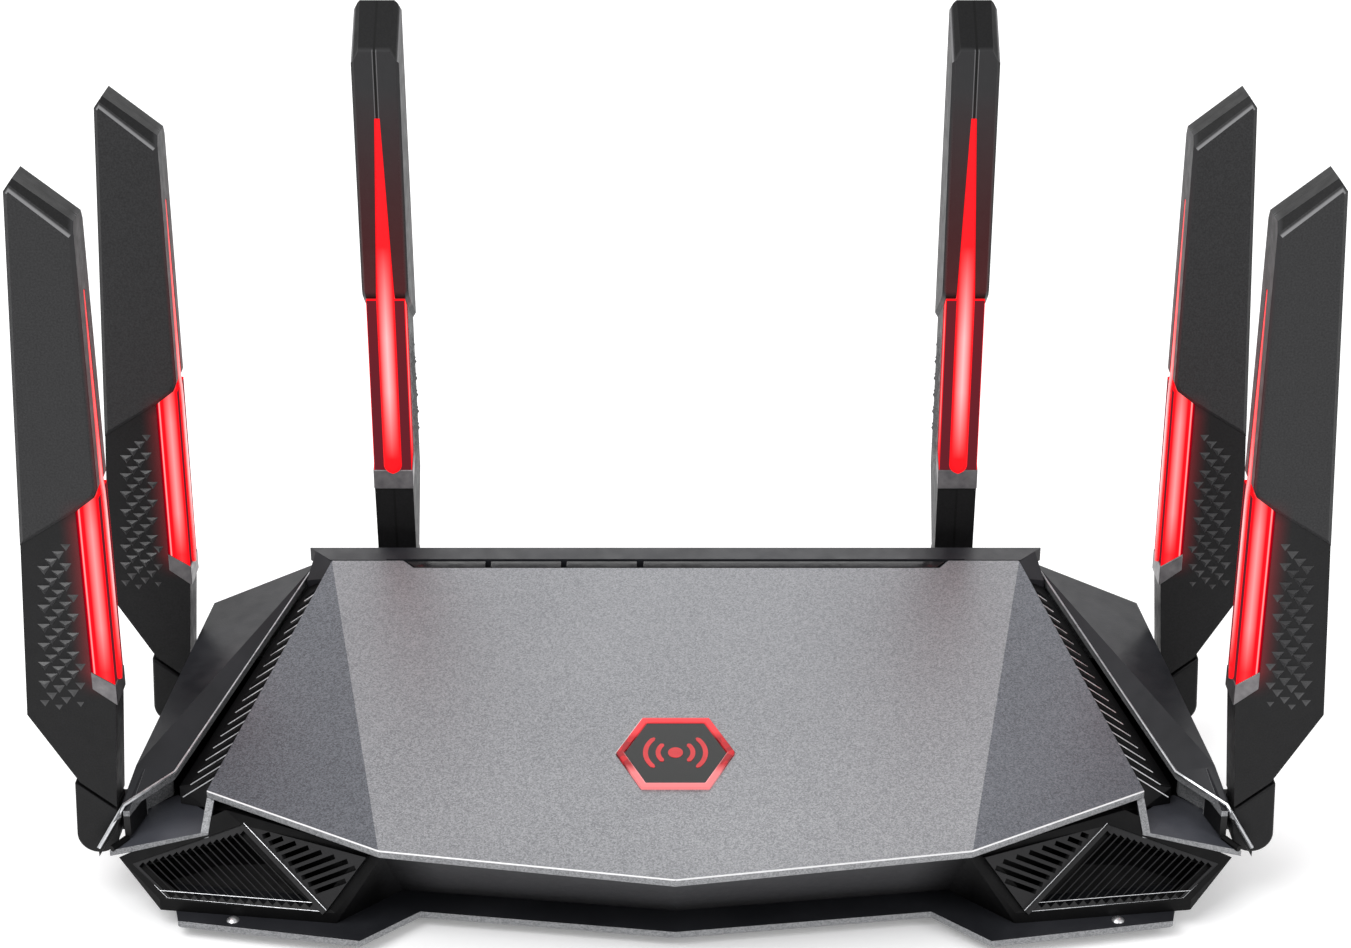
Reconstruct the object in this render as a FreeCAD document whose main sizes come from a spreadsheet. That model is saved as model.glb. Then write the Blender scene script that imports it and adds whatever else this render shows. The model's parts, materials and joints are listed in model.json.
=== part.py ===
import FreeCAD, Part
import math
import os
from FreeCAD import Placement, Rotation, Vector

# Desktop wireless router with six folding lit antennas, in millimetres.
# +X is to the right of the front edge, +Y runs to the back, +Z is up; the table is z = 0.

os.makedirs("parts", exist_ok=True)
doc = FreeCAD.newDocument("Router")

# ---------------------------------------------------------------- driving sizes
SIZES = [
    ("panelSlope", 0.2231, "rise of the top panel per mm towards the back"),
    ("panelRearY", 42.0, "rear edge of the top panel"),
    ("panelRearZ", 53.0, "height of that edge"),
    ("panelRearHalf", 95.0, "half width of that edge"),
    ("panelThick", 2.0, "top panel wall"),
    ("apexY", -78.6, "front point of the top panel"),
    ("creaseX", 72.2, "front end of a crease"),
    ("creaseY", -69.0, "front end of a crease"),
    ("cornerX", 117.7, "outer corner of a side facet"),
    ("cornerY", -44.3, "outer corner of a side facet"),
    ("cornerZ", 30.5, "outer corner of a side facet"),
    ("caseBackY", 48.0, "rear face of the case"),
    ("caseBackHalf", 101.6, "half width of the rear top edge"),
    ("footHigh", 2.8, "rubber foot height"),
    ("footRadius", 7.0, "rubber foot radius"),
    ("plateThick", 2.2, "base plate thickness"),
    ("plateBevel", 0.7, "base plate lower bevel"),
    ("caseTopZ", 24.0, "top of the lower case walls"),
    ("wallThick", 2.0, "case wall"),
    ("wingThick", 2.2, "wing plate thickness"),
    ("deckThick", 1.6, "deck plate thickness"),
    ("louvreThick", 1.4, "side louvre plate"),
    ("grilleThick", 1.4, "front grille plate"),
    ("louvreSlots", 18, "slots in a side louvre"),
    ("grilleSlots", 16, "slots in the large field of a front grille"),
    ("shortSlots", 9, "slots in the small field of a front grille"),
    ("boardThick", 1.6, "main board"),
    ("boardZ", 12.0, "underside of the main board"),
    ("buttonDeep", 3.0, "top button height"),
    ("buttonSpan", 2.7, "top button front to back"),
    ("badgeWide", 30.0, "badge across its points"),
    ("badgeTall", 26.0, "badge across its flats"),
    ("badgeRim", 1.7, "badge bezel width"),
    ("hingeRadius", 5.3, "knuckle and lug radius"),
    ("pinRadius", 1.8, "hinge pin radius"),
    ("pinGap", 0.06, "running clearance of the pin"),
    ("bladeHalf", 5.35, "half thickness of the lower blade"),
    ("sleeveHalf", 6.3, "half thickness of the upper sleeve"),
    ("sleeveBevel", 1.0, "bevel of the upper sleeve"),
    ("skin", 1.4, "blade wall"),
    ("lugThick", 5.0, "hinge lug thickness"),
    ("lugGap", 0.35, "side gap between lug and knuckle"),
    ("frontHingeX", 145.1, "front antenna hinge"),
    ("frontHingeY", -41.9, "front antenna middle plane"),
    ("sideHingeX", 137.5, "side antenna hinge"),
    ("sideHingeY", 24.6, "side antenna middle plane"),
    ("hingeZ", 19.7, "front and side hinge height"),
    ("backHingeX", 78.5, "back antenna middle plane"),
    ("backHingeY", 64.0, "back antenna hinge"),
    ("backHingeZ", 31.5, "back antenna hinge height"),
]

sheet = doc.addObject("Spreadsheet::Sheet", "Sizes")
for line, (alias, value, note) in enumerate(SIZES, 1):
    sheet.set(f"A{line}", note)
    sheet.set(f"B{line}", str(value))
    sheet.setAlias(f"B{line}", alias)
doc.recompute()


def size(alias):
    return float(sheet.get(alias))


# ---------------------------------------------------------------- helpers
pieces = []


def newBody(label):
    body = doc.addObject("PartDesign::Body", label)
    body.Label = label
    pieces.append(body)
    return body


def newFeature(label, shape):
    feature = doc.addObject("Part::Feature", label)
    feature.Label = label
    feature.Shape = shape
    pieces.append(feature)
    return feature


def sketchOn(body, role, depth=0.0):
    sketch = body.newObject("Sketcher::SketchObject", "Outline")
    plane = next(f for f in body.Origin.OriginFeatures if f.Role == role)
    sketch.AttachmentSupport = [(plane, "")]
    sketch.MapMode = "FlatFace"
    sketch.AttachmentOffset = Placement(Vector(0, 0, depth), Rotation())
    return sketch


def drawLoop(sketch, points):
    for start, end in zip(points, points[1:] + points[:1]):
        sketch.addGeometry(Part.LineSegment(Vector(*start, 0), Vector(*end, 0)), False)


def drawRectangle(sketch, low, high):
    drawLoop(sketch, [low, (high[0], low[1]), high, (low[0], high[1])])


def drawCircle(sketch, centre, radius):
    sketch.addGeometry(Part.Circle(Vector(*centre, 0), Vector(0, 0, 1), radius), False)


def addFeature(body, kind, sketch, length, away=False, middle=False):
    """Pad or Pocket of a sketch; length is a number or an expression on the sheet."""
    feature = body.newObject("PartDesign::" + kind, kind)
    feature.Profile = sketch
    if isinstance(length, str):
        feature.setExpression("Length", length)
    else:
        feature.Length = length
    feature.Reversed = away
    if middle:
        feature.Midplane = True
    return feature


def mirrored(points):
    """Outline points of the right half, then the same points on the left in reverse."""
    return points + [(-x, *rest) for x, *rest in reversed(points) if abs(x) > 0.01]


def flip(shape):
    return shape.mirror(Vector(0, 0, 0), Vector(1, 0, 0))


def solidOf(faces):
    solid = Part.makeSolid(Part.makeShell(faces))
    if solid.Volume < 0:
        solid.reverse()
    return solid


def polygonFace(corners):
    return Part.Face(Part.makePolygon([*corners, corners[0]]))


def slab(corners, facets, outline, drop):
    """Flat facets over a closed outline, given a thickness by moving them along drop."""
    top = [Vector(*corners[name]) for name in corners]
    order = list(corners)
    low = [point + drop for point in top]
    faces = []
    for facet in facets:
        index = [order.index(name) for name in facet]
        faces.append(polygonFace([top[i] for i in index]))
        faces.append(polygonFace([low[i] for i in index]))
    ring = [order.index(name) for name in outline]
    for i, j in zip(ring, ring[1:] + ring[:1]):
        faces.append(polygonFace([top[i], top[j], low[j], low[i]]))
    return solidOf(faces)


def convexSolid(points):
    """The solid whose faces are the outermost planes through its corner points."""
    corners = [Vector(*point) for point in points]
    faces = []
    seen = []
    for i in range(len(corners)):
        for j in range(i + 1, len(corners)):
            for k in range(j + 1, len(corners)):
                normal = (corners[j] - corners[i]).cross(corners[k] - corners[i])
                if normal.Length < 1e-6:
                    continue
                normal.normalize()
                sides = [(corner - corners[i]).dot(normal) for corner in corners]
                if max(sides) > 1e-4 and min(sides) < -1e-4:
                    continue
                on = [n for n, side in enumerate(sides) if abs(side) <= 1e-4]
                if on in seen:
                    continue
                seen.append(on)
                faces.append(ringFace([corners[n] for n in on], normal))
    return solidOf(faces)


def ringFace(corners, normal):
    """A convex face through coplanar corners, taken in order round their middle."""
    middle = sum(corners, Vector()) * (1.0 / len(corners))
    across = (corners[0] - middle).normalize()
    along = normal.cross(across)
    ordered = sorted(corners, key=lambda c: math.atan2((c - middle).dot(along), (c - middle).dot(across)))
    return polygonFace(ordered)


def orientedBox(start, end, width, up, depth):
    """A bar from start to end, of a width, reaching depth each way along up."""
    start, end, up = Vector(*start), Vector(*end), Vector(*up)
    side = (end - start).cross(up).normalize() * (width / 2)
    lift = Vector(up).normalize() * depth
    corners = [
        base + way * side + rise * lift
        for base in (start, end) for way in (-1, 1) for rise in (-1, 1)
    ]
    return convexSolid([tuple(corner) for corner in corners])


def between(start, end, share):
    return tuple(a + (b - a) * share for a, b in zip(start, end))


def box(low, high):
    return Part.makeBox(high[0] - low[0], high[1] - low[1], high[2] - low[2], Vector(*low))


def cylinderAlong(centre, axis, radius, length):
    return Part.makeCylinder(radius, length, Vector(*centre), Vector(*axis))


# ---------------------------------------------------------------- top panel
slope = size("panelSlope")
rearY, rearZ = size("panelRearY"), size("panelRearZ")
panelThick = size("panelThick")
tilt = math.degrees(math.atan(slope))


def panelZ(y):
    """Height of the middle facet's plane."""
    return rearZ + slope * (y - rearY)


panelCorners = {
    "rearRight": (size("panelRearHalf"), rearY, rearZ),
    "corner": (size("cornerX"), size("cornerY"), size("cornerZ")),
    "crease": (size("creaseX"), size("creaseY"), panelZ(size("creaseY"))),
    "apex": (0.0, size("apexY"), panelZ(size("apexY"))),
}
for name in ("crease", "corner", "rearRight"):
    x, y, z = panelCorners[name]
    panelCorners[name + "Left"] = (-x, y, z)
panelFacets = [
    ["rearRight", "crease", "apex", "creaseLeft", "rearRightLeft"],
    ["rearRight", "corner", "crease"],
    ["rearRightLeft", "creaseLeft", "cornerLeft"],
]
panelOutline = ["rearRight", "corner", "crease", "apex", "creaseLeft", "cornerLeft", "rearRightLeft"]
panelShape = slab(panelCorners, panelFacets, panelOutline, Vector(0, 0, -panelThick))


def tiltedFrame(y):
    """Placement of a piece drawn flat at the origin, laid on the middle facet at y."""
    return Placement(Vector(0, y, panelZ(y)), Rotation(Vector(1, 0, 0), tilt))


def hexagon(wide, tall):
    """Corners of a badge outline with points at its left and right."""
    flat = wide / 2 - tall / 4
    upper = [(wide / 2, 0), (flat, tall / 2), (-flat, tall / 2)]
    return upper + [(-x, -y) for x, y in upper]


def prismOn(outline, low, high, y):
    """A prism on an outline, from low to high along the middle facet's normal."""
    face = polygonFace([Vector(px, py, low) for px, py in outline])
    solid = face.extrude(Vector(0, 0, high - low))
    solid.Placement = tiltedFrame(y)
    return solid


badgeY = -34.9
slotY = 40.45
slotHalf = 1.65
slotOutline = [(-76.2, slotHalf + 1.0), (-72.0, -slotHalf), (72.6, -slotHalf), (76.2, slotHalf + 1.0)]
badgeHole = prismOn(hexagon(size("badgeWide") + 0.2, size("badgeTall") + 0.2), -6, 6, badgeY)
buttonSlot = prismOn(slotOutline, -6, 6, slotY)
newFeature("top_panel", panelShape.cut(badgeHole).cut(buttonSlot))

# ---------------------------------------------------------------- badge
bezel = newBody("badge_bezel")
ring = sketchOn(bezel, "XY_Plane", -panelThick)
drawLoop(ring, hexagon(size("badgeWide"), size("badgeTall")))
rim = size("badgeRim")
drawLoop(ring, hexagon(size("badgeWide") - 2.3 * rim, size("badgeTall") - 2 * rim))
addFeature(bezel, "Pad", ring, panelThick + 0.7)
bezel.Placement = tiltedFrame(badgeY)

lens = newBody("badge_lens")
glass = sketchOn(lens, "XY_Plane", -panelThick + 0.2)
drawLoop(glass, hexagon(size("badgeWide") - 2.3 * rim - 0.1, size("badgeTall") - 2 * rim - 0.1))
addFeature(lens, "Pad", glass, panelThick + 0.1)
lens.Placement = tiltedFrame(badgeY)

# ---------------------------------------------------------------- buttons and status window in the slot
buttonSpan = size("buttonSpan")
slotPieces = {
    "sync_button": [-74.4, -71.6, -52.4, -52.4],
    "lamp_button": [-51.0, -51.0, -31.5, -31.5],
    "radio_button": [-30.1, -30.1, -10.6, -10.6],
    "status_window": [-8.9, -8.9, 71.8, 74.4],
}
for label, (backLeft, frontLeft, frontRight, backRight) in slotPieces.items():
    body = newBody(label)
    low, high = -buttonSpan / 2, buttonSpan / 2
    outline = sketchOn(body, "XY_Plane", -0.1)
    drawLoop(outline, [(backLeft, high), (frontLeft, low), (frontRight, low), (backRight, high)])
    addFeature(body, "Pad", outline, "Sizes.buttonDeep", away=True)
    body.Placement = tiltedFrame(slotY)

plateTop = size("footHigh") + size("plateThick")
caseTop = size("caseTopZ")

# ---------------------------------------------------------------- decks with their raised corner post
deckRun = -0.2121


def deckZ(x):
    return 21.8 + deckRun * (x - 118.8)


deckOutline = [
    ("post", 118.8, -50.2), ("tip", 141.9, -50.5), ("heel", 138.9, -47.9), ("side", 136.9, -33.0),
    ("wing", 128.4, -28.0), ("inner", 118.6, -40.2),
]
deckCorners = {name: (x, y, deckZ(x)) for name, x, y in deckOutline}
deckNames = [name for name, x, y in deckOutline]
deckPlate = slab(deckCorners, [deckNames], deckNames, Vector(0, 0, -size("deckThick")))
postTop = (size("cornerX"), size("cornerY"), size("cornerZ") - panelThick - 0.05)
postFoot = (118.8, -50.2, 21.8)
postWide = 1.9
post = convexSolid([
    (x + side, y + deep, z)
    for x, y, z in (postTop, postFoot, (118.8, -50.2, 20.2))
    for side in (-postWide, 0.0) for deep in (0.0, 2.6)
])
cheek = convexSolid([
    (postTop[0] - 1.0, postTop[1] + 2.0, postTop[2]), (postTop[0], postTop[1] + 2.0, postTop[2]),
    (postFoot[0] - 1.0, postFoot[1] + 2.0, 20.2), (postFoot[0], postFoot[1] + 2.0, 20.2),
    (117.0, -38.5, 28.2), (118.0, -38.5, 28.2), (118.0, -38.5, 20.4), (119.0, -38.5, 20.4),
])
deck = deckPlate.fuse([post, cheek]).removeSplitter()
newFeature("right_deck", deck)
newFeature("left_deck", flip(deck))
seatGap = 0.1
deckUnder = polygonFace([Vector(x, y, deckZ(x) - size("deckThick") - seatGap) for name, x, y in deckOutline])
deckRoom = deckUnder.extrude(Vector(0, 0, 14.0))

# ---------------------------------------------------------------- wings
wingCorners = {
    "rear": (100.1, 46.1, 50.0), "elbow": (127.8, -32.3, 29.0), "front": (138.5, -45.6, 27.2),
    "tip": (144.4, -51.3, 17.8), "notch": (139.2, -47.75, 26.6), "outer": (136.6, -36.0, 33.0),
    "back": (127.5, 37.6, 42.0),
}
wingFacets = [
    ["rear", "elbow", "outer"], ["rear", "outer", "back"], ["elbow", "front", "outer"],
    ["front", "notch", "outer"], ["front", "tip", "notch"],
]
wingOutline = ["rear", "elbow", "front", "tip", "notch", "outer", "back"]
wingThick = size("wingThick")
wingPlate = slab(wingCorners, wingFacets, wingOutline, Vector(0, 0, -wingThick))


def hangingWall(start, end, lowZ, inward):
    """A wall just inside a wing edge, down to lowZ, its thickness laid inwards."""
    points = []
    for x, y, z in (start, end):
        for share in (0.2, 1.0):
            points.append((x + share * inward[0], y + share * inward[1], z - 1.2))
            points.append((x + share * inward[0], y + share * inward[1], lowZ))
    return convexSolid(points)


inWall = 2.0
outer, notch = wingCorners["outer"], wingCorners["notch"]
outerWall = hangingWall(outer, between(outer, wingCorners["back"], 0.985), caseTop + 0.1, (-inWall, 0.0))
noseWall = hangingWall(between(notch, outer, 0.1), outer, 18.8, (-inWall, 0.0))
rearWall = hangingWall(
    between(wingCorners["rear"], wingCorners["back"], 0.04),
    between(wingCorners["rear"], wingCorners["back"], 0.985), caseTop + 0.1, (-0.2, -inWall))
ridgeWall = convexSolid([
    (129.4, -28.3, 19.8), (137.0, -35.1, 18.3), (129.4, -26.7, 19.8), (136.2, -33.3, 18.5),
    (129.4, -28.3, 28.0), (137.0, -35.1, 27.0), (129.4, -26.7, 28.0), (136.2, -33.3, 27.0),
])
# a thin web fills the corner between the nose wall and the sloping tip
tipWeb = convexSolid([
    (x + side, y + 1.2 * side, z) for side in (0.0, -0.9)
    for x, y, z in ((138.9, -47.0, 25.6), (143.7, -50.9, 18.6), (138.9, -47.0, 18.9), (143.4, -50.7, 18.3))
])
wing = wingPlate.fuse([outerWall, noseWall, rearWall, ridgeWall, tipWeb])
newFeature("right_wing", wing)
newFeature("left_wing", flip(wing))
ridgeRoom = convexSolid([
    (x, y, z)
    for x, y in ((128.6, -28.6), (137.6, -36.2), (129.0, -26.2), (137.0, -32.9)) for z in (18.1, 30.0)
])

# ---------------------------------------------------------------- lower case
coreLow = mirrored([
    (0.0, -52.0), (70.0, -49.6), (116.0, -46.0), (131.5, -46.5), (125.5, 36.5), (100.6, 46.0)])
coreHigh = mirrored([
    (0.0, -52.0), (70.0, -49.6), (117.0, -42.5), (136.6, -46.9), (129.2, 36.5), (100.6, 46.0)])


def ringWire(outline, z):
    corners = [Vector(x, y, z) for x, y in outline]
    return Part.makePolygon([*corners, corners[0]])


core = Part.makeLoft([ringWire(coreLow, plateTop), ringWire(coreHigh, caseTop)], True, True)

# the front corner pod: one leaning field for the long slots and one facet that folds forward to the rim
ventRoot = (84.1, -65.2)
ventEnd = (128.5, -59.1)
ventCorner = (139.6, -50.9, 15.2)
rimCorner = (118.8, -50.0, 20.0)
valleyTop = (112.7, -46.7, 26.4)
creaseLow = (71.5, -66.4, 25.4)
noseLow = (0.0, -75.6, 23.3)
foldFoot = (68.9, -50.0)
podA = convexSolid([
    (*ventRoot, plateTop), (*ventRoot, 8.0), (*ventEnd, plateTop), (*ventEnd, 8.0), ventCorner, rimCorner,
    valleyTop, (100.0, -36.0, plateTop), (131.0, -47.4, plateTop), (100.0, -36.0, caseTop),
    (136.0, -47.4, 14.6),
])
podB = convexSolid([
    (*ventRoot, plateTop), (*ventRoot, 8.0), (*foldFoot, plateTop), creaseLow, valleyTop,
    (100.0, -40.0, plateTop), (100.0, -40.0, caseTop), (70.0, -40.0, plateTop), (70.0, -40.0, caseTop),
])
nose = convexSolid([
    (side * x, y, z) for side in (-1, 1) for x, y, z in (
        (0.0, -59.4, plateTop), noseLow, (*foldFoot, plateTop), creaseLow,
        (70.0, -40.0, plateTop), (70.0, -40.0, caseTop))
    if side > 0 or x > 0
])
lugHalf = size("hingeRadius")
hingeZ = size("hingeZ")
lugThick, lugGap, bladeHalf = size("lugThick"), size("lugGap"), size("bladeHalf")


def sideLug(hingeX, hingeY, wallX):
    """A disc round the hinge axis behind the antenna, with a web to the case wall."""
    near = hingeY + bladeHalf + lugGap
    disc = cylinderAlong((hingeX, near, hingeZ), (0, 1, 0), lugHalf, lugThick)
    web = box((wallX, near, hingeZ - lugHalf), (hingeX, near + lugThick, hingeZ + 3.6))
    hole = cylinderAlong((hingeX, near - 1, hingeZ), (0, 1, 0), size("pinRadius") + 0.02, lugThick + 2)
    return disc.fuse(web).cut(hole)


wall = size("wallThick")
hollowLow = mirrored([
    (0.0, -47.0), (70.0, -46.0), (110.0, -40.0), (128.5, -42.0), (123.5, 34.5), (100.0, 43.6), (100.0, 50.0)])
hollowHigh = mirrored([
    (0.0, -47.0), (70.0, -46.0), (110.0, -39.0), (134.0, -43.5), (127.0, 34.5), (100.0, 43.6), (100.0, 50.0)])
hollowWires = [ringWire(hollowLow, plateTop + wall), ringWire(hollowHigh, caseTop + 4.0)]
hollow = Part.makeLoft(hollowWires, True, True)

# the grille fields lie on the pod's two leaning faces
fieldRoot = (86.5, -64.9, 8.2)
fieldSide = (126.6, -58.7, 8.2)
fieldRimSide = (136.0, -52.1, 14.0)
fieldTop = (108.3, -49.0, 23.6)
smallRim = (75.6, -66.6, 24.9)
toSide, toTop, toRim = (Vector(*end) - Vector(*fieldRoot) for end in (fieldSide, fieldTop, smallRim))
fieldPlane = toSide.cross(toTop).normalize()
smallPlane = toTop.cross(toRim).normalize()


def plateOn(corners, normal, out, deep):
    """A plate under a flat field, from out in front of it to deep behind it."""
    lift = Vector(normal) * out
    face = polygonFace([Vector(*corner) + lift for corner in corners])
    return face.extrude(Vector(normal) * -(out + deep))


def inset(corners, step):
    middle = tuple(sum(axis) / len(corners) for axis in zip(*corners))
    out = []
    for corner in corners:
        away = Vector(*corner) - Vector(*middle)
        out.append(tuple(Vector(*middle) + away * ((away.Length - step) / away.Length)))
    return out


def flatten(corner, normal):
    """Drop a corner square onto the plane through fieldRoot."""
    gap = (Vector(*corner) - Vector(*fieldRoot)).dot(normal)
    return tuple(Vector(*corner) - Vector(normal) * gap)


largeField = [fieldRoot, fieldSide, flatten(fieldRimSide, fieldPlane), fieldTop]
smallField = [fieldRoot, fieldTop, flatten(smallRim, smallPlane)]
grilleThick = size("grilleThick")
seatLarge = plateOn(largeField, fieldPlane, 6.0, grilleThick)
seatSmall = plateOn(smallField, smallPlane, 6.0, grilleThick)
ductLarge = plateOn(inset(largeField, 3.0), fieldPlane, 6.0, 11.0)
ductSmall = plateOn(inset(smallField, 3.4), smallPlane, 6.0, 7.0)
valleyLift = (Vector(fieldPlane) + Vector(smallPlane)) * -0.3
valleyEnds = [tuple(Vector(*corner) + valleyLift) for corner in (fieldRoot, fieldTop)]
valleyWide, valleyDeep = 2.4, 0.9
valleyBar = orientedBox(*valleyEnds, valleyWide, fieldPlane, valleyDeep)
rightPods = podA.fuse(podB)
rightPods = rightPods.cut(seatLarge.fuse([seatSmall, ductLarge, ductSmall, valleyBar]))
lowerCase = core.fuse([rightPods, flip(rightPods), nose]).cut(hollow)
rightLugs = sideLug(size("frontHingeX"), size("frontHingeY"), 134.9)
rightLugs = rightLugs.fuse(sideLug(size("sideHingeX"), size("sideHingeY"), 128.2))
posts = [
    Part.makeCylinder(3.0, size("boardZ") - plateTop - 0.1, Vector(x, y, plateTop + 0.05))
    for x in (-82.0, 82.0) for y in (-36.0, 30.0)
]
lowerCase = lowerCase.fuse([rightLugs, flip(rightLugs), *posts])
# what stands above the deck's underside, or where the wing's front wall and the corner post go, is cleared
topRooms = deckRoom.fuse([ridgeRoom, deck])
lowerCase = lowerCase.cut([topRooms, flip(topRooms)])
newFeature("lower_case", max(lowerCase.Solids, key=lambda solid: solid.Volume).removeSplitter())

# ---------------------------------------------------------------- front grilles
def onSide(side, point):
    return (side * point[0], point[1], point[2])


def frontGrille(side):
    """Both fields of one grille with their slots; side is 1 on the right and -1 on the left."""
    large = [onSide(side, corner) for corner in largeField]
    small = [onSide(side, corner) for corner in smallField]
    largeUp = Vector(*onSide(side, tuple(fieldPlane)))
    smallUp = Vector(*onSide(side, tuple(smallPlane)))
    bar = orientedBox(*(onSide(side, end) for end in valleyEnds), valleyWide, largeUp, valleyDeep)
    grille = plateOn(large, largeUp, 0.0, grilleThick)
    grille = grille.fuse([plateOn(small, smallUp, 0.0, grilleThick), bar])
    slotCount = int(size("grilleSlots"))
    for n in range(slotCount):
        share = (n + 1.0) / (slotCount + 0.9)
        foot = between(large[0], large[1], share)
        head = between(large[3], large[2], share)
        slot = orientedBox(between(foot, head, 0.06), between(foot, head, 0.93), 1.35, largeUp, 3.0)
        grille = grille.cut(slot)
    shortCount = int(size("shortSlots"))
    shortWay = Vector(*onSide(side, (-12.8, -4.1, 7.8)))
    shortWay = (shortWay - smallUp * shortWay.dot(smallUp)).normalize()
    edgeOut = (Vector(*small[2]) - Vector(*small[0])).cross(smallUp).normalize()
    for n in range(shortCount):
        share = 0.17 + 0.63 * n / (shortCount - 1)
        start = Vector(*between(small[1], small[0], share))
        toEdge = (Vector(*small[0]) - start).dot(edgeOut) / shortWay.dot(edgeOut)
        reach = min(27.0 * share, toEdge - 1.4)
        slot = orientedBox(start + shortWay * 2.0, start + shortWay * reach, 1.25, smallUp, 3.0)
        grille = grille.cut(slot)
    return grille


newFeature("right_front_grille", frontGrille(1))
newFeature("left_front_grille", frontGrille(-1))

# ---------------------------------------------------------------- side louvres
louvreCorners = {
    "innerRear": (96.3, 37.0, 49.3), "innerFront": (116.4, -38.0, 29.7),
    "outerFront": (126.6, -33.2, 25.4), "outerRear": (101.0, 40.0, 46.9),
}
louvreFacets = [["innerRear", "innerFront", "outerFront"], ["innerRear", "outerFront", "outerRear"]]
louvreNames = list(louvreCorners)
louvre = slab(louvreCorners, louvreFacets, louvreNames, Vector(0, 0, -size("louvreThick")))
apron = convexSolid([
    (x, y + deep, z) for x, y, z in (
        (117.1, -38.0, 29.0), (126.6, -33.2, 25.0), (126.6, -33.2, 20.3), (119.4, -38.0, 21.9))
    for deep in (0.0, 1.2)
])
louvreCount = int(size("louvreSlots"))
cuts = []
for n in range(louvreCount):
    share = (n + 0.75) / (louvreCount + 0.5)
    inner = between(louvreCorners["innerRear"], louvreCorners["innerFront"], share)
    outer = between(louvreCorners["outerRear"], louvreCorners["outerFront"], share)
    outer = (outer[0], inner[1] - (outer[0] - inner[0]) * 0.33, outer[2])
    ends = between(inner, outer, 0.10), between(inner, outer, 0.9)
    cuts.append(orientedBox(*ends, 2.1, (0.3, 0.0, 1.0), 4.0))
louvre = louvre.cut(cuts[0].multiFuse(cuts[1:])).fuse(apron)
newFeature("right_side_louvre", louvre)
newFeature("left_side_louvre", flip(louvre))

# ---------------------------------------------------------------- upper case
backY, backHalf = size("caseBackY"), size("caseBackHalf")
stripTop = rearZ + 1.0
shelfZ = 45.0
underTop = panelThick + 0.1
underCorners = [(94.0, rearY - 0.2), (70.0, -58.0)]
underPlate = convexSolid([
    (side * x, y, panelZ(y) - underTop - low)
    for x, y in underCorners for side in (-1, 1) for low in (0.0, 1.5)
])
stripFront = size("panelRearHalf") + 0.4
stripRear = convexSolid([
    (side * x, y, z) for side in (-1, 1) for x, y, z in (
        (stripFront, rearY + 0.2, rearZ + 0.03), (backHalf, backY, stripTop),
        (stripFront, rearY + 0.2, 50.1), (backHalf, backY, 50.1))
])
shelf = box((-92.0, 36.4, shelfZ), (92.0, 45.9, shelfZ + 1.6))
riser = box((-92.0, 44.2, shelfZ + 0.5), (92.0, 45.9, 50.6))
endBlock = box((80.5, 37.0, shelfZ + 0.5), (92.0, 45.9, 49.7))
slotWell = box((-80.0, 37.5, shelfZ + 1.6), (80.0, rearY + 0.6, 60.0))
# the strip's end runs down beside the panel as far as the first louvre slat
cornerFill = convexSolid([
    (x, y, z - low) for x, y, z in (
        (94.7, 41.9, 52.7), (99.8, 45.9, 53.9), (101.6, 38.4, 48.6), (95.7, 36.9, 49.9))
    for low in (0.0, 2.6)
]).cut([panelShape, louvre, wing])
cornerFill = max(cornerFill.Solids, key=lambda solid: solid.Volume)
upperCase = underPlate.fuse([stripRear, shelf, riser, endBlock, flip(endBlock), cornerFill, flip(cornerFill)])
upperCase = upperCase.cut(slotWell).cut(badgeHole)
newFeature("upper_case", upperCase.removeSplitter())

# ---------------------------------------------------------------- base plate
plate = newBody("base_plate")
plateOutline = mirrored([
    (0.0, -69.0), (63.7, -59.9), (77.4, -73.0), (123.4, -64.1), (129.0, -42.0), (114.0, 38.0), (98.0, 45.0),
])
plateSketch = sketchOn(plate, "XY_Plane", size("footHigh") + size("plateBevel"))
drawLoop(plateSketch, plateOutline)
addFeature(plate, "Pad", plateSketch, "Sizes.plateThick - Sizes.plateBevel")
bevelSketch = sketchOn(plate, "XY_Plane", size("footHigh") + size("plateBevel"))
drawLoop(bevelSketch, plateOutline)
bevel = addFeature(plate, "Pad", bevelSketch, "Sizes.plateBevel", away=True)
bevel.TaperAngle = -40.0

# ---------------------------------------------------------------- rubber feet
footSpots = [(-100.0, -52.0), (100.0, -52.0), (-95.0, 34.0), (95.0, 34.0)]
feet = newBody("feet")
footSketch = sketchOn(feet, "XY_Plane")
for spot in footSpots:
    drawCircle(footSketch, spot, size("footRadius"))
addFeature(feet, "Pad", footSketch, "Sizes.footHigh")

# ---------------------------------------------------------------- case screws


def screw(x, y, z, up):
    """Domed head with a short shank; up is 1 when the head is on top."""
    head = Part.makeSphere(2.0, Vector(0, 0, -1.2)).common(box((-2, -2, 0), (2, 2, 2)))
    shank = Part.makeCylinder(0.7, 1.4, Vector(0, 0, -1.4))
    solid = head.fuse(shank)
    if up < 0:
        solid.rotate(Vector(0, 0, 0), Vector(1, 0, 0), 180)
    solid.translate(Vector(x, y, z))
    return solid


studSpots = [(-109.8, -63.6), (109.8, -63.6)]
rearSpots = [(-70.0, 38.0), (70.0, 38.0), (-60.0, -48.0), (60.0, -48.0)]
studs = [screw(x, y, plateTop, 1) for x, y in studSpots]
unders = [screw(x, y, size("footHigh"), -1) for x, y in rearSpots]
newFeature("case_screws", Part.makeCompound(studs + unders))
holeSketch = sketchOn(plate, "XY_Plane", size("footHigh") - 1.0)
for spot in studSpots + rearSpots:
    drawCircle(holeSketch, spot, 0.75)
addFeature(plate, "Pocket", holeSketch, 6.0, away=True)

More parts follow.
